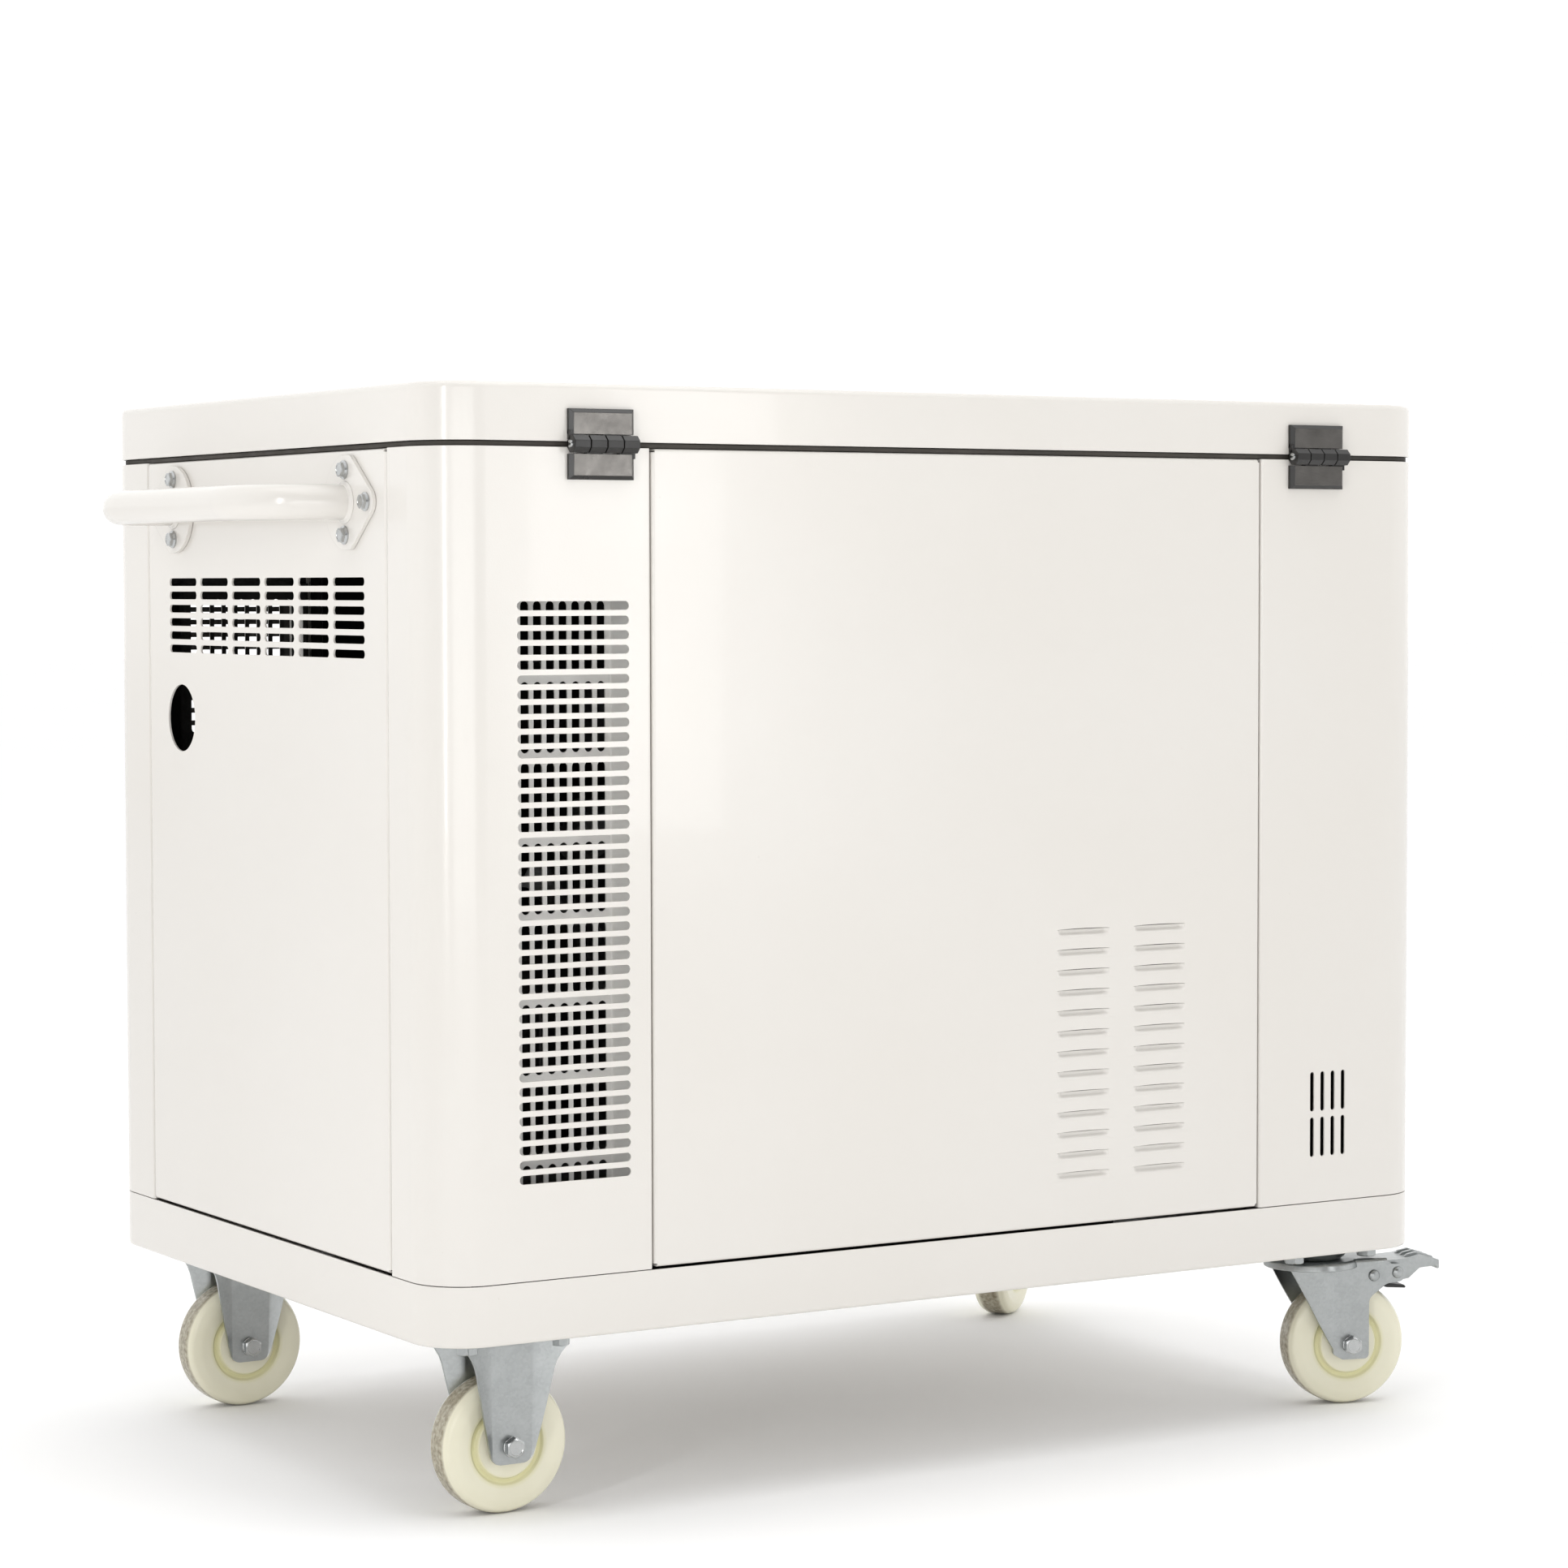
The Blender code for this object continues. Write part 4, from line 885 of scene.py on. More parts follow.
def make_shells():
    """Makes the base tray, the lid and the seal between the lid and the body."""
    rings = [cabinet_ring(TRAY_WALL, BASE_BOTTOM + TRAY_FLOOR), cabinet_ring(TRAY_WALL, BASE_TOP - EDGE),
             cabinet_ring(TRAY_WALL - EDGE, BASE_TOP), cabinet_ring(EDGE, BASE_TOP),
             cabinet_ring(0.0, BASE_TOP - EDGE)]
    rings += rounded_rim(BASE_EDGE, 6, lambda share: BASE_BOTTOM + BASE_EDGE * share)
    piece("base_tray_shell", loft(bmesh.new(), rings), [POWDER_COAT], stands_for=["base_tray"])

    rings = [cabinet_ring(SHEET, LID_TOP - SHEET), cabinet_ring(SHEET, LID_BOTTOM + EDGE),
             cabinet_ring(SHEET - EDGE, LID_BOTTOM), cabinet_ring(EDGE, LID_BOTTOM),
             cabinet_ring(0.0, LID_BOTTOM + EDGE)]
    rings += rounded_rim(LID_EDGE, 9, lambda share: LID_TOP - LID_EDGE * share)
    piece("lid_shell", loft(bmesh.new(), rings), [POWDER_COAT], body="lid", stands_for=["lid"])

    outside = HALF_L - SEAL_HIGH.x
    inside = outside + SEAL_WIDTH
    low, high = SEAL_LOW.z, SEAL_HIGH.z
    corners = ((outside, low), (outside, high), (inside, high), (inside, low))
    section = fillet([(inset, z, 0.0008) for inset, z in corners], steps=3)
    rings = [cabinet_ring(inset, z) for inset, z in section]
    band = loft(bmesh.new(), rings, closed=True)
    piece("lid_seal_band", band, [RUBBER], stands_for=["lid_seal"])


# ---------------------------------------------------------------------------------- fittings


def add_leaf(source, low_x, high_x, near_z, far_z, back):
    """Adds a hinge leaf with chamfered sides and outer end, from near its knuckles to its far edge."""
    sign = math.copysign(1.0, far_z - near_z)
    rings = []
    for y, inset in ((back, 0.0), (back - 0.003, 0.0), (back - HINGE_DEPTH, HINGE_CHAMFER)):
        left, right, far = low_x + inset, high_x - inset, far_z - sign * inset
        corners = ((left, near_z), (right, near_z), (right, far), (left, far))
        rings.append([Vector((x, y, z)) for x, z in corners])
    loft(source, rings)


def make_hinge(side):
    """Makes a cast hinge: two chamfered leaves, knuckles taking turns along the pin, and the pin itself."""
    low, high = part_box(f"hinge_{side}_upper_leaf")
    lower_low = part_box(f"hinge_{side}_lower_leaf")[0]
    axis = centre_of(f"hinge_{side}_pin")
    back = -HALF_W - GAP
    face_y = back - HINGE_DEPTH
    width = high.x - low.x
    relief = KNUCKLE_RADIUS * math.cos(math.pi / 8) + 0.0008
    knuckle = (width - KNUCKLE_GAP * (KNUCKLES - 1)) / KNUCKLES
    narrow = KNUCKLE_RADIUS - KNUCKLE_EDGE
    barrel = [(narrow, 0.0), (KNUCKLE_RADIUS, KNUCKLE_EDGE), (KNUCKLE_RADIUS, knuckle - KNUCKLE_EDGE),
              (narrow, knuckle)]
    leaves = (("upper", "lid", 1, high.z, 0), ("lower", "cabinet", -1, lower_low.z, 1))
    for leaf, body, sign, far, first in leaves:
        source = bmesh.new()
        add_leaf(source, low.x, high.x, axis.z + sign * relief, far, back)
        for k in (first, first + 2):
            start = low.x + k * (knuckle + KNUCKLE_GAP)
            turned(source, barrel, (start, axis.y, axis.z), (1, 0, 0), sides=8)
            web_low, web_high = sorted((axis.z + sign * 0.004, axis.z + sign * (relief + 0.004)))
            block(source, (start, face_y + 0.0005, web_low), (start + knuckle, back - 0.0005, web_high))
        bmesh.ops.recalc_face_normals(source, faces=source.faces[:])
        source.normal_update()
        for face in source.faces:
            on_leaf = face.normal.y < -0.9 and abs(face.calc_center_median().y - face_y) < 0.0004
            face.material_index = 1 if on_leaf else 0
        piece(f"hinge_{side}_{leaf}_casting", source, [BLACK_STEEL, BRUSHED], body=body,
              stands_for=[f"hinge_{side}_{leaf}_leaf"], edge=0.0003, sharp=20.0)
    profile = [(0.0026, -0.0007), (0.0034, -0.0002), (0.0036, 0.0004), (0.0036, width + 0.0021),
               (0.0034, width + 0.0027), (0.0026, width + 0.0032)]
    rod = turned(bmesh.new(), profile, (low.x - 0.00125, axis.y, axis.z), (1, 0, 0))
    piece(f"hinge_{side}_pin_rod", rod, [BRIGHT_ZINC], stands_for=[f"hinge_{side}_pin"])


def plate_outline(leg, outward, middle_z, face):
    """Gives the three-cornered outline of a handle plate: arcs given by centre, radius and angles."""
    arcs = (
        (0.0, 0.0, HANDLE_PLATE_RADIUS, 90.0, 270.0),
        (0.008, -0.034, 0.008, 270.0, 308.0),
        (HANDLE_NOSE, 0.0, 0.013, -52.0, 52.0),
        (0.008, 0.034, 0.008, 52.0, 90.0),
    )
    outline = []
    for out, rise, radius, begin, end in arcs:
        steps = max(4, round(abs(end - begin) / BEND_STEP))
        for k in range(steps + 1):
            angle = math.radians(begin + (end - begin) * k / steps)
            y = leg + outward * (out + radius * math.cos(angle))
            outline.append(Vector((face, y, middle_z + rise + radius * math.sin(angle))))
    return [point for k, point in enumerate(outline) if (point - outline[k - 1]).length > 1e-6]


def make_handle(node, spin):
    """Makes a bent tube welded to two three-cornered plates, each held by three flange bolts."""
    low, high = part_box("handle_left")
    middle_z = (low.z + high.z) / 2
    near, far = low.y + HANDLE_INSET, high.y - HANDLE_INSET
    face = -HALF_L - GAP
    reach = face - low.x - HANDLE_TUBE
    leg = (reach - HANDLE_BEND - HANDLE_PLATE / 2, 0.0)
    curve = bend(HANDLE_BEND, -90.0)
    grip = (far - near - 2 * HANDLE_BEND, 0.0)
    at, breaks = route((face - HANDLE_PLATE / 2, near), 180.0, [leg, curve, grip, curve, leg])
    rings = []
    for distance in breaks:
        centre, normal = at(distance)
        section = []
        for angle in circle(32):
            out = HANDLE_TUBE * math.cos(angle)
            height = middle_z + HANDLE_TUBE * math.sin(angle)
            section.append(Vector((centre.x + out * normal.x, centre.y + out * normal.y, height)))
        rings.append(section)
    piece(f"{node}_tube", loft(bmesh.new(), rings), [POWDER_COAT], stands_for=[node], spin=spin)

    weld = [(HANDLE_TUBE - 0.001, 0.0), (HANDLE_TUBE + 0.0032, 0.0), (HANDLE_TUBE + 0.0030, 0.0008),
            (HANDLE_TUBE + 0.0014, 0.0017), (HANDLE_TUBE + 0.0004, 0.0034), (HANDLE_TUBE - 0.001, 0.0036)]
    start = face - HANDLE_PLATE
    plates, bolts = bmesh.new(), bmesh.new()
    for y, outward in ((near, -1), (far, 1)):
        prism(plates, plate_outline(y, outward, middle_z, face), (-1, 0, 0), HANDLE_PLATE)
        turned(plates, weld, (start, y, middle_z), (-1, 0, 0), closed=True)
        for out, rise in HANDLE_BOLTS:
            spot = (start, y + outward * out, middle_z + rise)
            hex_head(bolts, spot, (-1, 0, 0), 0.0125, 0.0058, flange=0.0085)
    piece(f"{node}_plates", plates, [POWDER_COAT], spin=spin, edge=0.0006)
    piece(f"{node}_bolts", bolts, [BRIGHT_ZINC], spin=spin)


# ----------------------------------------------------------------------------------- casters


def make_wheel(node, body, bolt_body, spin):
    """Makes a moulded nylon wheel with a hub disc and a groove round it, and its axle bolt and lock nut."""
    low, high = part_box(f"{node}_wheel")
    centre = centre_of(f"{node}_wheel")
    radius = (high.z - low.z) / 2
    side = [(0.0075, 0.0225, 0.0004), (0.0125, 0.0225, 0.001), (0.0145, 0.0185, 0.001),
            (0.0292, 0.0185, 0.0010), (0.0310, 0.0150, 0.0010), (0.0345, 0.0150, 0.0015),
            (0.0365, 0.0176, 0.0018), (0.050, 0.0190, 0.02), (0.0590, 0.0172, 0.0050),
            (radius, 0.0095, 0.0120)]
    profile = fillet(side + [(r, -y, corner) for r, y, corner in reversed(side)], steps=5)
    tyre = turned(bmesh.new(), profile, (0, 0, 0), (0, 1, 0), sides=96, closed=True)
    piece(f"{node}_tyre", tyre, [NYLON], body=body, stands_for=[f"{node}_wheel"], place=centre,
          spin=spin, sharp=50.0)

    grip = FORK_INSIDE / 2 + FORK_SHEET + GAP
    washer = [(0.0088, 0.0), (0.0092, 0.0003), (0.0092, 0.0013), (0.0088, 0.0016)]
    bolt = bmesh.new()
    turned(bolt, washer, (0, -grip, 0), (0, -1, 0))
    hex_head(bolt, (0, -grip - 0.0016, 0), (0, -1, 0), AXLE_HEAD, 0.0068)
    turned(bolt, [(0.006, 0.0), (0.006, 2 * grip)], (0, -grip, 0), (0, 1, 0))
    hex_head(bolt, (0, grip, 0), (0, 1, 0), AXLE_HEAD, 0.0075)
    turned(bolt, [(0.0058, 0.0), (0.0058, 0.0100), (0.0050, 0.0108)], (0, grip, 0), (0, 1, 0))
    piece(f"{node}_bolt", bolt, [BRIGHT_ZINC], body=bolt_body, stands_for=[f"{node}_axle_bolt"],
          place=centre, spin=spin)
    section = [(0.0060, 0.0075, 0.0), (0.0072, 0.0075, 0.0), (0.0070, 0.0093, 0.0006), (0.0060, 0.0093, 0.0)]
    collar = turned(bmesh.new(), fillet(section, steps=3), (0, grip, 0), (0, 1, 0), closed=True)
    piece(f"{node}_lock_ring", collar, [BLUE_INSERT], body=bolt_body, place=centre, spin=spin)


def thick_grid(source, outer, inner):
    """Closes two grids of points, the two faces of one bent sheet, into one skin."""
    faces = [[[source.verts.new(p) for p in row] for row in grid] for grid in (outer, inner)]
    rows, columns = len(outer), len(outer[0])
    for i in range(rows - 1):
        for j in range(columns - 1):
            for grid in faces:
                source.faces.new((grid[i][j], grid[i][j + 1], grid[i + 1][j + 1], grid[i + 1][j]))
    rim = [(0, j) for j in range(columns)] + [(i, columns - 1) for i in range(1, rows)]
    rim += [(rows - 1, j) for j in range(columns - 2, -1, -1)] + [(i, 0) for i in range(rows - 2, 0, -1)]
    for (i, j), (k, m) in zip(rim, rim[1:] + rim[:1]):
        source.faces.new((faces[0][i][j], faces[0][k][m], faces[1][k][m], faces[1][i][j]))


def caster_plate(source, top):
    """Adds the mounting plate and the four bolts that hold it under the base tray."""
    outline = rounded_rectangle(*CASTER_PLATE_SIZE, 0.008, top, per_corner=6)
    prism(source, outline, (0, 0, -1), CASTER_PLATE)
    washer = [(0.0115, 0.0), (0.012, 0.0004), (0.012, 0.0018), (0.0115, 0.0022)]
    under = top - CASTER_PLATE
    for x in (-CASTER_BOLTS[0], CASTER_BOLTS[0]):
        for y in (-CASTER_BOLTS[1], CASTER_BOLTS[1]):
            turned(source, washer, (x, y, under), (0, 0, -1))
            hex_head(source, (x, y, under - 0.0022), (0, 0, -1), 0.018, 0.0080)


def bracket_leg(source, side, at, distances, straight):
    """Adds one leg of a fixed bracket: flat down the middle, with wings that flare outward to the plate."""
    face = FORK_INSIDE / 2 + FORK_SHEET
    foot_corner = 0.0075
    middle, wings = 4, 8
    outer, inner = [], []
    for distance in distances:
        spot, normal = at(distance)
        climb = min(distance / straight, 1.0)
        left_over = max(foot_corner - distance, 0.0)
        flat = FORK_FLAT - foot_corner + math.sqrt(foot_corner ** 2 - left_over ** 2)
        wing = 0.024 * max(climb - 0.02, 0.0) ** 0.85 + 0.007 * max(climb * 5.0 - 4.0, 0.0) ** 2
        flare = 0.44 * wing
        row_outer, row_inner = [], []
        for k in range(-middle - wings, middle + wings + 1):
            share = max(abs(k) - middle, 0) / wings
            x = math.copysign(min(abs(k), middle) / middle * flat + share * wing, k)
            out = max(spot.x, face + flare * share ** 1.25)
            row_outer.append(Vector((x, side * out, spot.y)))
            within = (side * (out + FORK_SHEET * normal.x), spot.y + FORK_SHEET * normal.y)
            row_inner.append(Vector((x, *within)))
        outer.append(row_outer)
        inner.append(row_inner)
    thick_grid(source, outer, inner)


def make_fixed_caster(node, body):
    """Makes a fixed caster: two pressed legs that bend outward into their mounting plate, and the wheel."""
    low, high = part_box(f"{node}_fork")
    place = Vector(((low.x + high.x) / 2, (low.y + high.y) / 2, 0.0))
    top = high.z
    foot = centre_of(f"{node}_wheel").z - 0.0155
    shoulder = 0.006
    fine = 0.007
    rise = top - CASTER_PLATE - FORK_SHEET + GAP - shoulder - foot
    shape = [(rise, 0.0), bend(shoulder, -90.0), (0.006, 0.0)]
    at, breaks = route((FORK_INSIDE / 2 + FORK_SHEET, foot), 90.0, shape)
    straight = breaks[1]
    distances = [0.0, 0.0008, 0.002, 0.004, fine]
    distances += [fine + (straight - fine) * k / 14 for k in range(1, 15)] + breaks[2:]
    source = bmesh.new()
    for side in (-1, 1):
        bracket_leg(source, side, at, distances, straight)
    caster_plate(source, top)
    piece(f"{node}_bracket", source, [ZINC], stands_for=[f"{node}_fork"], place=place,
          edge=0.0005)
    make_wheel(node, body, "cabinet", 0.0)


def fused(source, parts):
    """Joins closed shapes that overlap into one."""
    items = []
    for shape in (source, *parts):
        bmesh.ops.recalc_face_normals(shape, faces=shape.faces[:])
        mesh = bpy.data.meshes.new("part")
        shape.to_mesh(mesh)
        shape.free()
        item = bpy.data.objects.new("part", mesh)
        bpy.context.scene.collection.objects.link(item)
        items.append(item)
    for other in items[1:]:
        union = items[0].modifiers.new("union", "BOOLEAN")
        union.operation = "UNION"
        union.object = other
    depsgraph = bpy.context.evaluated_depsgraph_get()
    result = bmesh.new()
    result.from_mesh(bpy.data.meshes.new_from_object(items[0].evaluated_get(depsgraph)))
    for item in items:
        bpy.data.objects.remove(item)
    return result


def raised(corners, level):
    """Lifts the (x, z, radius) corners of an outline to a level."""
    return [(x, level + z, radius) for x, z, radius in corners]


def make_mounting(node, place, low, top):
    """Makes a swivel caster's plate and the fixed half of its ball race."""
    source = bmesh.new()
    caster_plate(source, top)
    under = top - CASTER_PLATE
    race = fillet([(0.0, under + 0.001, 0.0), (0.038, under + 0.001, 0.0), (0.038, under - 0.003, 0.002),
                   (0.034, low + 0.0035, 0.002), (0.030, low, 0.001), (0.0, low, 0.0)],
                  steps=4, closed=False)
    turned(source, [(max(radius, 0.001), z) for radius, z in race], (0, 0, 0), (0, 0, 1))
    piece(f"{node}_mounting", source, [ZINC], stands_for=[f"{node}_plate"], place=place,
          edge=0.0004)


def yoke_body(left, right, foot, head_top, half):
    """Gives the pressed body of a swivel yoke: two side plates, the bridge between them and its disc."""
    bar_top = head_top - 0.004
    bar_under = head_top - 0.003
    skirt = head_top - 0.012
    outline = fillet([(left, bar_top, 0.0), (left, foot + 0.006, 0.004), (left + 0.010, foot, 0.006),
                      (right, foot, 0.005), (right, head_top + YOKE_NOTCH, 0.010),
                      *raised(YOKE_ARM, head_top), (0.0740, bar_top, 0.0)])
    parts = []
    for side in (-1, 1):
        parts.append(side_prism(bmesh.new(), outline, side * half, -side * FORK_SHEET))
    inside = half - FORK_SHEET
    section = fillet([(-half, skirt, 0.0), (-half, head_top, 0.0045), (half, head_top, 0.0045),
                      (half, skirt, 0.0), (inside, skirt, 0.0), (inside, bar_under, 0.0018),
                      (-inside, bar_under, 0.0018), (-inside, skirt, 0.0)])
    bridge = prism(bmesh.new(), [(left, y, z) for y, z in section], (1, 0, 0), 0.072 - left)
    disc = fillet([(0.001, head_top, 0.0), (0.046, head_top, 0.004), (0.048, head_top - 0.008, 0.001),
                   (0.0455, head_top - 0.008, 0.0), (0.0435, bar_under, 0.002), (0.001, bar_under, 0.0)],
                  closed=False)
    parts.append(turned(bmesh.new(), disc, (0, 0, 0), (0, 0, 1), sides=64, closed=True))
    return fused(bridge, parts)


def yoke_cheek(source, side, left, foot, head_top, half):
    """Adds the stretch of sheet that sweeps from a side plate of the yoke out to the rim of its disc."""
    rows, columns = 16, 12
    rim_radius = 0.0465
    start = foot + 0.010
    outer, inner = [], []
    for i in range(rows + 1):
        climb = i / rows
        z = start + (head_top - 0.004 - start) * climb
        reach = 0.050 * climb ** 0.95
        row_outer, row_inner = [], []
        for j in range(columns + 1):
            share = j / columns
            x = left + 0.001 - reach * share
            rim = math.sqrt(max(rim_radius ** 2 - x ** 2, 0.0))
            flare = max(rim - half, -0.012) * climb ** 1.6 * share ** 0.8 * (1.0 - 0.25 * share)
            row_outer.append(Vector((x, side * (half + flare), z)))
            row_inner.append(Vector((x, side * (half + flare - FORK_SHEET), z)))
        outer.append(row_outer)
        inner.append(row_inner)
    thick_grid(source, outer, inner)


def make_swivel_caster(end):
    """Makes a braked swivel caster; in its own frame the wheel trails towards +X."""
    node = f"caster_swivel_{end}"
    swivel, wheel_body = f"swivel_{end}", f"wheel_swivel_{end}"
    axis = SPIN_AXES[wheel_body]
    spin = math.degrees(math.atan2(-axis.x, axis.y))
    plate_low, plate_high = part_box(f"{node}_plate")
    hub = centre_of(f"{node}_wheel")
    place = Vector(((plate_low.x + plate_high.x) / 2, (plate_low.y + plate_high.y) / 2, 0.0))
    make_mounting(node, place, plate_low.z, plate_high.z)

    trail = (hub.xy - place.xy).length
    head_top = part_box(f"{node}_fork")[1].z
    half = FORK_INSIDE / 2 + FORK_SHEET
    left, right = trail - FORK_FLAT, trail + FORK_FLAT
    foot = hub.z - 0.015
    source = yoke_body(left, right, foot, head_top, half)
    rivet = [(0.0060, 0.0), (0.0058, 0.0012), (0.0050, 0.0024), (0.0034, 0.0034), (0.0012, 0.0038)]
    for side in (-1, 1):
        yoke_cheek(source, side, left, foot, head_top, half)
    for x, z in YOKE_RIVETS:
        for side in (-1, 1):
            turned(source, rivet, (x, side * half, head_top + z), (0, side, 0), sides=24)
    piece(f"{node}_yoke", source, [ZINC], body=swivel, stands_for=[f"{node}_fork"], place=place,
          spin=spin, edge=0.0004)
    make_wheel(node, wheel_body, swivel, spin)
    make_pedal(end, node, place, spin, head_top)


def make_pedal(end, node, place, spin, head_top):
    """Makes the brake pedal: a pressed steel tread with ribs, and the black brake tongue under it."""
    half = FORK_INSIDE / 2 - 0.0035
    tread = fillet(raised(PEDAL_TREAD, head_top), steps=4)
    rib = fillet(raised(PEDAL_RIB, head_top), steps=3)
    source = side_prism(bmesh.new(), tread, -half, 2 * half)
    for y in (-0.012, 0.0, 0.012):
        side_prism(source, rib, y - 0.0016, 0.0032)
    piece(f"{node}_pedal", source, [ZINC], body=f"pedal_{end}", stands_for=[f"{node}_brake_pedal"],
          place=place, spin=spin, edge=0.0006)
    tongue = side_prism(bmesh.new(), fillet(raised(PEDAL_TONGUE, head_top), steps=3), -0.016, 0.032)
    piece(f"{node}_tongue", tongue, [BLACK_PLASTIC], body=f"pedal_{end}", place=place,
          spin=spin, edge=0.0004)


# ------------------------------------------------------------------------------------ inside


def egg_crate(name, half_x, half_y, thickness, to_world, body):
    """Makes a sheet of ridged acoustic foam, ridged side towards local +Z."""
    source = bmesh.new()
    columns = max(4, round(half_x * 8 / FOAM_PITCH))
    rows = max(4, round(half_y * 8 / FOAM_PITCH))
    top, bottom = [], []
    for i in range(columns + 1):
        x = -half_x + 2 * half_x * i / columns
        top_row, bottom_row = [], []
        for j in range(rows + 1):
            y = -half_y + 2 * half_y * j / rows
            waves = math.cos(2 * math.pi * x / FOAM_PITCH) + math.cos(2 * math.pi * y / FOAM_PITCH)
            height = thickness - FOAM_RIDGE + FOAM_RIDGE * (0.5 + 0.25 * waves)
            top_row.append(to_world @ Vector((x, y, height)))
            bottom_row.append(to_world @ Vector((x, y, 0.0)))
        top.append(top_row)
        bottom.append(bottom_row)
    thick_grid(source, top, bottom)
    piece(name, source, [FOAM_AND_SHADE], body=body)


def wall_foam(node, y, turn, low_z, high_z):
    """Lines the inside of a long panel with foam between two heights."""
    low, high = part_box(node)
    place = Matrix.Translation(((low.x + high.x) / 2, y, (low_z + high_z) / 2))
    to_world = place @ Matrix.Rotation(turn, 4, "X")
    name = node.replace("_panel", "_foam")
    half_x = (high.x - low.x) / 2 - FOAM_SIDE_MARGIN
    egg_crate(name, half_x, (high_z - low_z) / 2, WALL_FOAM, to_world, "cabinet")


def make_linings():
    """Makes the foam in the lid and on the long walls; its near-black colour also paints the shade inside the
    cabinet.
    """
    down = Matrix.Translation((0.0, 0.0, LID_TOP - SHEET - GAP)) @ Matrix.Rotation(math.pi, 4, "X")
    egg_crate("lid_foam", HALF_L - FOAM_MARGIN, HALF_W - FOAM_MARGIN, LID_FOAM, down, "lid")
    bottom = BODY_BOTTOM + FOAM_MARGIN
    behind_louvres = SHEET + LOUVRE_DEPTH + 0.002 - HALF_W
    wall_foam("rear_panel", behind_louvres, -math.pi / 2, bottom, BODY_TOP - FOAM_MARGIN)
    under_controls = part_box("control_panel")[0].z - FOAM_MARGIN
    wall_foam("front_panel", HALF_W - SHEET - GAP, math.pi / 2, bottom, under_controls)


KEPT_NODES = {
    "rail_rear": (BLACK_STEEL, 0.002),
    "rail_front": (BLACK_STEEL, 0.002),
    **{f"mount_{side}_{end}": (RUBBER, 0.001) for side in ("rear", "front") for end in ("left", "right")},
    "crankcase": (CAST_ALLOY, 0.006),
    "cylinder_rear": (CAST_ALLOY, 0.0012),
    "cylinder_front": (CAST_ALLOY, 0.0012),
    "cooling_fan": (BLACK_PLASTIC, 0.003),
    "alternator": (CAST_ALLOY, 0.004),
    "muffler": (HEAT_BLACK, 0.002),
    "air_cleaner": (BLACK_PLASTIC, 0.004),
    "fuel_tank": (BLACK_PLASTIC, 0.004),
    "fuel_cap": (BLACK_PLASTIC, 0.0015),
    "battery": (BLACK_PLASTIC, 0.003),
    "control_panel": (BLACK_STEEL, 0.0005),
    "key_switch": (BRIGHT_ZINC, 0.0006),
    "main_switch": (BLACK_PLASTIC, 0.001),
    "emergency_stop": (RED_PLASTIC, 0.002),
    "power_socket": (BLACK_PLASTIC, 0.001),
    "lid_latch_left": (BLACK_STEEL, 0.001),
    "lid_latch_right": (BLACK_STEEL, 0.001),
}


def finish_kept_nodes():
    """Gives the plain pieces of the frame their finish and rounded edges."""
    for node, (material, edge) in KEPT_NODES.items():
        item = frame["nodes"][node]
        item.data.materials.clear()
        item.data.materials.append(material)
        weld = item.modifiers.new("weld", "WELD")
        weld.merge_threshold = 0.00002
        round_edges(item, edge)


# ----------------------------------------------------------------------------------- details


def dial_ray(degrees, half_width):
    """Gives the direction of a line on a dial, and the half width of that line across it."""
    angle = math.radians(degrees)
    along = Vector((-math.cos(angle), 0.0, math.sin(angle)))
    return along, Vector((along.z, 0.0, -along.x)) * half_width


def make_gauge(name, centre, needle):
    """Makes a round instrument: bezel, dark face, a scale of ticks and a needle at an angle in degrees."""
    out = (0, 1, 0)
    middle = Vector(centre)
    rim = GAUGE_RADIUS - 0.0035
    profile = fillet([(rim, 0.0, 0.0), (GAUGE_RADIUS, 0.0, 0.0), (GAUGE_RADIUS, 0.0060, 0.0015),
                      (rim, 0.0060, 0.0010)], steps=4)
    bezel = turned(bmesh.new(), profile, centre, out, sides=48, closed=True)
    piece(f"{name}_bezel", bezel, [BLACK_PLASTIC])

    face = turned(bmesh.new(), [(rim - 0.0001, 0.0), (rim - 0.0001, GAUGE_FACE)], centre, out)
    piece(f"{name}_face", face, [CLEAR_DARK])

    marks = bmesh.new()
    sweep = 2 * GAUGE_FIRST - 180.0
    for k in range(GAUGE_TICKS):
        major = k % 5 == 0
        along, across = dial_ray(GAUGE_FIRST - sweep * k / (GAUGE_TICKS - 1), 0.0007 if major else 0.0004)
        near = middle + along * (GAUGE_RADIUS * (0.66 if major else 0.74))
        far = middle + along * GAUGE_RADIUS * 0.82
        corners = [near - across, near + across, far + across, far - across]
        prism(marks, [corner + Vector((0.0, GAUGE_FACE, 0.0)) for corner in corners], out, 0.0003)
    piece(f"{name}_scale", marks, [WHITE_INK])

    hand = bmesh.new()
    along, across = dial_ray(needle, 0.0007)
    tip = middle + along * GAUGE_RADIUS * 0.70
    tail = middle - along * GAUGE_RADIUS * 0.16
    corners = [tail - across, tail + across, tip + across * 0.3, tip - across * 0.3]
    prism(hand, [corner + Vector((0.0, 0.0036, 0.0)) for corner in corners], out, 0.0004)
    turned(hand, [(0.0022, GAUGE_FACE), (0.0022, 0.0044), (0.0018, 0.0048)], centre, out, sides=24)
    piece(f"{name}_hand", hand, [RED_PLASTIC])


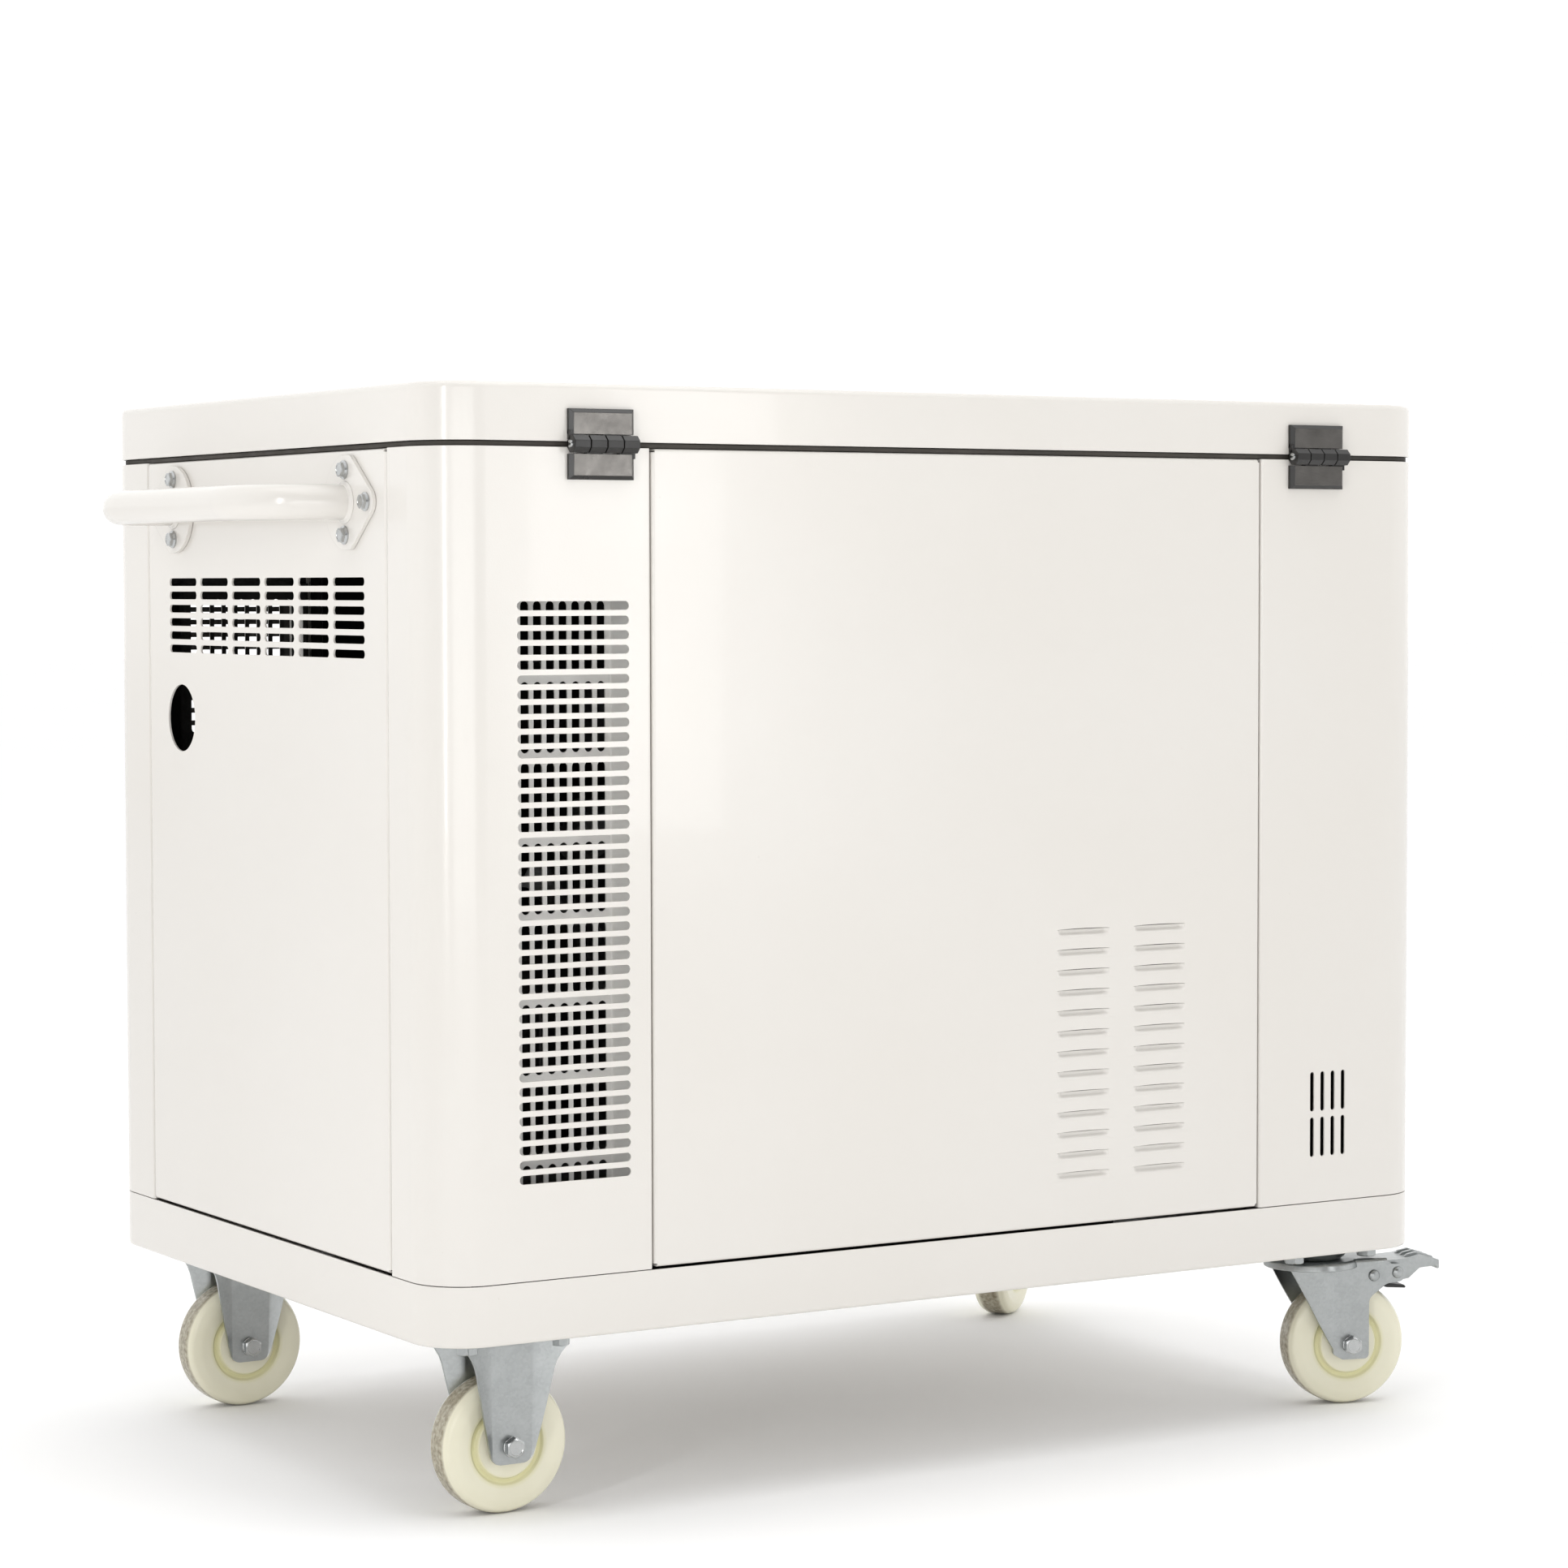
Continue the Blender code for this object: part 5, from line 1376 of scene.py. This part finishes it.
def make_breakers(middle_x, face, middle_z):
    """Makes the row of circuit breakers with their toggles."""
    half_x, half_z = BREAKER_HALF
    side = [(0.0055, -0.006), (0.0120, 0.003), (0.0135, 0.006), (0.0115, 0.008), (0.0055, 0.006)]
    bodies, toggles = bmesh.new(), bmesh.new()
    for k in range(BREAKERS):
        x = middle_x - BREAKER_PITCH + BREAKER_PITCH * k
        corners = [(x + sx * half_x, middle_z + sz * half_z, 0.0015) for sx, sz in SQUARE]
        side_prism(bodies, fillet(corners, steps=3), face, 0.006)
        profile = [(x - 0.004, face + depth, middle_z + rise) for depth, rise in side]
        prism(toggles, profile, (1, 0, 0), 0.008)
    piece("breaker_bodies", bodies, [BLACK_PLASTIC], edge=0.0005)
    piece("breaker_toggles", toggles, [WHITE_INK], edge=0.0005)


def make_lamp(name, place, material):
    """Makes an indicator lamp: a domed lens in a metal rim."""
    out = (0, 1, 0)
    dome = [(0.0050, 0.0), (0.0050, 0.0040), (0.0038, 0.0062), (0.0016, 0.0072)]
    rim = [(0.0051, 0.0), (0.0078, 0.0), (0.0074, 0.0022), (0.0051, 0.0030)]
    piece(f"{name}_lens", turned(bmesh.new(), dome, place, out, sides=32), [material])
    piece(f"{name}_rim", turned(bmesh.new(), rim, place, out, closed=True), [BRIGHT_ZINC])


def make_socket_contacts():
    """Makes the core of the power socket and its three contact sleeves."""
    middle = centre_of("power_socket")
    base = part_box("power_socket")[0].y
    out = (0, 1, 0)
    disc = [(0.0215, 0.0), (0.0215, 0.0030), (0.0205, 0.0036)]
    core = turned(bmesh.new(), disc, (middle.x, base + 0.0040, middle.z), out)
    contacts = bmesh.new()
    sleeve = [(0.0022, 0.0), (0.0036, 0.0), (0.0034, 0.0012), (0.0022, 0.0012)]
    for k in range(3):
        angle = math.radians(90.0 + 120.0 * k)
        place = (middle.x + 0.0115 * math.cos(angle), base + 0.0072, middle.z + 0.0115 * math.sin(angle))
        turned(contacts, sleeve, place, out, 24, closed=True)
    piece("power_socket_core", core, [BLACK_PLASTIC])
    piece("power_socket_contacts", contacts, [BRASS])


def make_control_details():
    """Makes the screws, instruments, breakers, lamps and socket contacts of the control panel."""
    low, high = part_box("control_panel")
    face = high.y
    head = [(0.0038, 0.0), (0.0036, 0.0012), (0.0022, 0.0019)]
    screws = bmesh.new()
    for x in (low.x + SCREW_INSET, (low.x + high.x) / 2, high.x - SCREW_INSET):
        for z in (low.z + SCREW_INSET, high.z - SCREW_INSET):
            turned(screws, head, (x, face, z), (0, 1, 0), sides=24)
    piece("control_panel_screws", screws, [BRIGHT_ZINC])

    key = centre_of("key_switch")
    stop = centre_of("emergency_stop")
    socket = centre_of("power_socket")
    left = low.x + 0.045
    make_gauge("voltmeter", (left, face, key.z - 0.002), 95.0)
    make_gauge("ammeter", (left, face, socket.z), 150.0)
    make_breakers(stop.x, face, socket.z)
    make_lamp("running_lamp", (key.x, face, socket.z + 0.016), GREEN_LENS)
    make_lamp("warning_lamp", (key.x, face, socket.z - 0.016), AMBER_LENS)
    make_socket_contacts()


def make_rocker_covers(bolts):
    """Makes the cover of each cylinder head, square to its slanted cylinder."""
    slope = math.sqrt(0.5)
    for side, sign in (("rear", -1), ("front", 1)):
        low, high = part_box(f"cylinder_{side}")
        axis = Vector((0.0, sign * slope, slope))
        across = Vector((0.0, -sign * slope, slope))
        end_y = high.y if sign > 0 else low.y
        top = Vector(((low.x + high.x) / 2, end_y, high.z)) - axis * 0.046
        outline = []
        for sx, sw in SQUARE:
            outline.append(top + Vector((sx * 0.044, 0.0, 0.0)) + across * (sw * 0.034) - axis * 0.002)
        cover = prism(bmesh.new(), outline, axis, 0.020)
        piece(f"rocker_cover_{side}", cover, [CAST_ALLOY], edge=0.004)
        for sx in (-1, 1):
            spot = top + Vector((sx * 0.034, 0.0, 0.0)) + axis * 0.0178
            hex_head(bolts, spot, axis, 0.010, 0.005, flange=0.0065)


def make_engine_bolts(bolts):
    """Adds the bolts of the alternator's end cover and of the crankcase."""
    rim_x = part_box("alternator")[1].x - 0.0105
    middle = centre_of("cooling_fan")
    for k in range(8):
        angle = math.radians(22.5 + 45.0 * k)
        spot = (rim_x, middle.y + 0.104 * math.cos(angle), middle.z + 0.104 * math.sin(angle))
        hex_head(bolts, spot, (1, 0, 0), 0.010, 0.006, flange=0.0065)
    low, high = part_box("crankcase")
    for x in (low.x + 0.03, high.x - 0.03):
        for z in (low.z + 0.03, low.z + 0.12):
            hex_head(bolts, (x, high.y, z), (0, 1, 0), 0.012, 0.007, flange=0.008)
            hex_head(bolts, (x, low.y, z), (0, -1, 0), 0.012, 0.007, flange=0.008)
    piece("engine_bolts", bolts, [BRIGHT_ZINC])


def make_oil_filter():
    """Makes the spin-on filter on the side of the crankcase."""
    low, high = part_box("crankcase")
    place = ((low.x + high.x) / 2, high.y - 0.001, low.z + 0.075)
    can = [(0.034, 0.0), (0.036, 0.004), (0.036, 0.062), (0.031, 0.068), (0.012, 0.070)]
    oil_filter = turned(bmesh.new(), can, place, (0, 1, 0), sides=40)
    piece("oil_filter", oil_filter, [RED_PLASTIC])


def make_tank_straps():
    """Makes the two steel straps over the fuel tank, which reach a little way into it."""
    low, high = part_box("fuel_tank")
    proud, sunk, foot = 0.0015, 0.002, low.z + 0.02
    straps = bmesh.new()
    for x in (low.x + 0.05, high.x - 0.05):
        section = [(low.y - proud, foot), (low.y - proud, high.z + proud), (high.y + proud, high.z + proud),
                   (high.y + proud, foot), (high.y - sunk, foot), (high.y - sunk, high.z - 0.004),
                   (low.y + sunk, high.z - 0.004), (low.y + sunk, foot)]
        prism(straps, [(x - 0.0125, y, z) for y, z in section], (1, 0, 0), 0.025)
    piece("tank_straps", straps, [ZINC], edge=0.0004)


def make_battery_top():
    """Makes the battery's cover and its two posts."""
    low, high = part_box("battery")
    lip = 0.0015
    cover, posts = bmesh.new(), bmesh.new()
    block(cover, (low.x - lip, low.y - lip, high.z - 0.030), (high.x + lip, high.y + lip, high.z + lip))
    pole = [(0.010, 0.0), (0.010, 0.003), (0.0065, 0.003), (0.0060, 0.016), (0.0052, 0.017)]
    for y in (low.y + 0.035, high.y - 0.035):
        turned(posts, pole, (low.x + 0.03, y, high.z + lip), (0, 0, 1), sides=32)
    piece("battery_cover", cover, [HEAT_BLACK], edge=0.003)
    piece("battery_posts", posts, [BRIGHT_ZINC])


def make_muffler_bands():
    """Makes the clamping bands round the muffler."""
    middle = centre_of("muffler")
    band = [(0.0495, -0.008), (0.0515, -0.008), (0.0515, 0.008), (0.0495, 0.008)]
    bands = bmesh.new()
    for x in MUFFLER_BANDS:
        turned(bands, band, (x, middle.y, middle.z), (1, 0, 0), closed=True)
    piece("muffler_bands", bands, [ZINC])


def make_cleaner_nut():
    """Makes the wing nut on the air cleaner."""
    low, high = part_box("air_cleaner")
    x, y, z = (low.x + high.x) / 2, (low.y + high.y) / 2, high.z
    body = [(0.012, 0.0), (0.012, 0.001), (0.006, 0.0014), (0.005, 0.010), (0.004, 0.011)]
    nut = turned(bmesh.new(), body, (x, y, z), (0, 0, 1), sides=32)
    for side in (-1, 1):
        near, far = sorted((x + side * 0.004, x + side * 0.004 + side * 0.013))
        block(nut, (near, y - 0.0012, z + 0.004), (far, y + 0.0012, z + 0.014))
    piece("air_cleaner_nut", nut, [BRIGHT_ZINC])


def make_engine_details():
    """Makes the small fittings of the engine, the tank, the battery, the muffler and the air cleaner."""
    bolts = bmesh.new()
    make_rocker_covers(bolts)
    make_engine_bolts(bolts)
    make_oil_filter()
    make_tank_straps()
    make_battery_top()
    make_muffler_bands()
    make_cleaner_nut()


def make_cap_grip():
    """Makes the ribs round the fuel cap."""
    low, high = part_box("fuel_cap")
    middle = (low + high) / 2
    radius = (high.x - low.x) / 2 - 0.0004
    rib = [(0.0014, 0.0), (0.0014, 0.010), (0.0008, 0.0108)]
    ribs = bmesh.new()
    for angle in circle(24):
        spot = (middle.x + radius * math.cos(angle), middle.y + radius * math.sin(angle), low.z + 0.001)
        turned(ribs, rib, spot, (0, 0, 1), sides=12)
    piece("fuel_cap_ribs", ribs, [BLACK_PLASTIC], body="fuel_cap")


# ------------------------------------------------------------------------------------- stage


def make_camera():
    """Makes the camera, low and to the left of the hinged side."""
    yaw, pitch, roll = (math.radians(a) for a in (VIEW_YAW, VIEW_PITCH, VIEW_ROLL))
    ahead = Vector((math.sin(yaw) * math.cos(pitch), math.cos(yaw) * math.cos(pitch), -math.sin(pitch)))
    level = Vector((math.cos(yaw), -math.sin(yaw), 0.0))
    upright = level.cross(ahead)
    right = level * math.cos(roll) + upright * math.sin(roll)
    above = upright * math.cos(roll) - level * math.sin(roll)
    camera = bpy.data.objects.new("camera", bpy.data.cameras.new("camera"))
    camera.data.lens = LENS
    camera.data.sensor_width = 36.0
    camera.data.clip_end = 200.0
    spot = Vector((-HALF_L, -HALF_W, BASE_BOTTOM)) + VIEW_UNIT * Vector(VIEW_FROM)
    camera.matrix_world = Matrix.Translation(spot) @ Matrix((right, above, -ahead)).transposed().to_4x4()
    bpy.context.scene.collection.objects.link(camera)
    bpy.context.scene.camera = camera


def softbox(name, place, aim, size, power):
    """Adds a rectangular lamp at a place, pointed at its aim."""
    lamp = bpy.data.lights.new(name, "AREA")
    lamp.shape = "RECTANGLE"
    lamp.size, lamp.size_y = size
    lamp.energy = power
    item = bpy.data.objects.new(name, lamp)
    item.location = place
    item.rotation_euler = (Vector(aim) - Vector(place)).to_track_quat("-Z", "Y").to_euler()
    bpy.context.scene.collection.objects.link(item)


def make_stage():
    """Makes the studio floor, the world and the softboxes."""
    floor = bmesh.new()
    floor.faces.new([floor.verts.new((x * FLOOR_REACH, y * FLOOR_REACH, 0.0)) for x, y in SQUARE])
    mesh = bpy.data.meshes.new("floor")
    floor.to_mesh(mesh)
    floor.free()
    item = bpy.data.objects.new("floor", mesh)
    bpy.context.scene.collection.objects.link(item)
    paper = finish("studio_floor", (0.975, 0.975, 0.975), (0.965, 0.965, 0.965), 0.85, patch=0.5, relief=0.0)
    mesh.materials.append(paper)
    make_world()
    for name, place, aim, size, power in SOFTBOXES:
        softbox(name, place, aim, size, power)
    bpy.context.scene.view_settings.view_transform = "Standard"


def make_world():
    """Makes a white studio that is dimmer where the hinged side faces, so that the softboxes shape it."""
    world = bpy.data.worlds.new("studio")
    world.use_nodes = True
    tree = world.node_tree
    background = tree.nodes["Background"]
    background.inputs["Color"].default_value = (1.0, 1.0, 1.0, 1.0)
    towards = add_node(tree, "ShaderNodeTexCoord").outputs["Generated"]
    inputs = {0: towards, 1: Vector(DIM_SIDE).normalized()}
    facing = add_node(tree, "ShaderNodeVectorMath", inputs, operation="DOT_PRODUCT").outputs["Value"]
    tree.links.new(spread(tree, facing, SKY_BRIGHT, SKY_DIM, DIM_FROM, DIM_TO), background.inputs["Strength"])
    bpy.context.scene.world = world


make_shells()
make_posts()
make_panels()
make_baffle("intake_baffle_rear", 0.0)
make_baffle("intake_baffle_front", 180.0)
for hinge_side in ("left", "right"):
    make_hinge(hinge_side)
make_handle("handle_left", 0.0)
make_handle("handle_right", 180.0)
make_fixed_caster("caster_fixed_rear", "wheel_fixed_rear")
make_fixed_caster("caster_fixed_front", "wheel_fixed_front")
for caster_end in ("rear", "front"):
    make_swivel_caster(caster_end)
make_linings()
finish_kept_nodes()
make_control_details()
make_engine_details()
make_cap_grip()
make_stage()
make_camera()
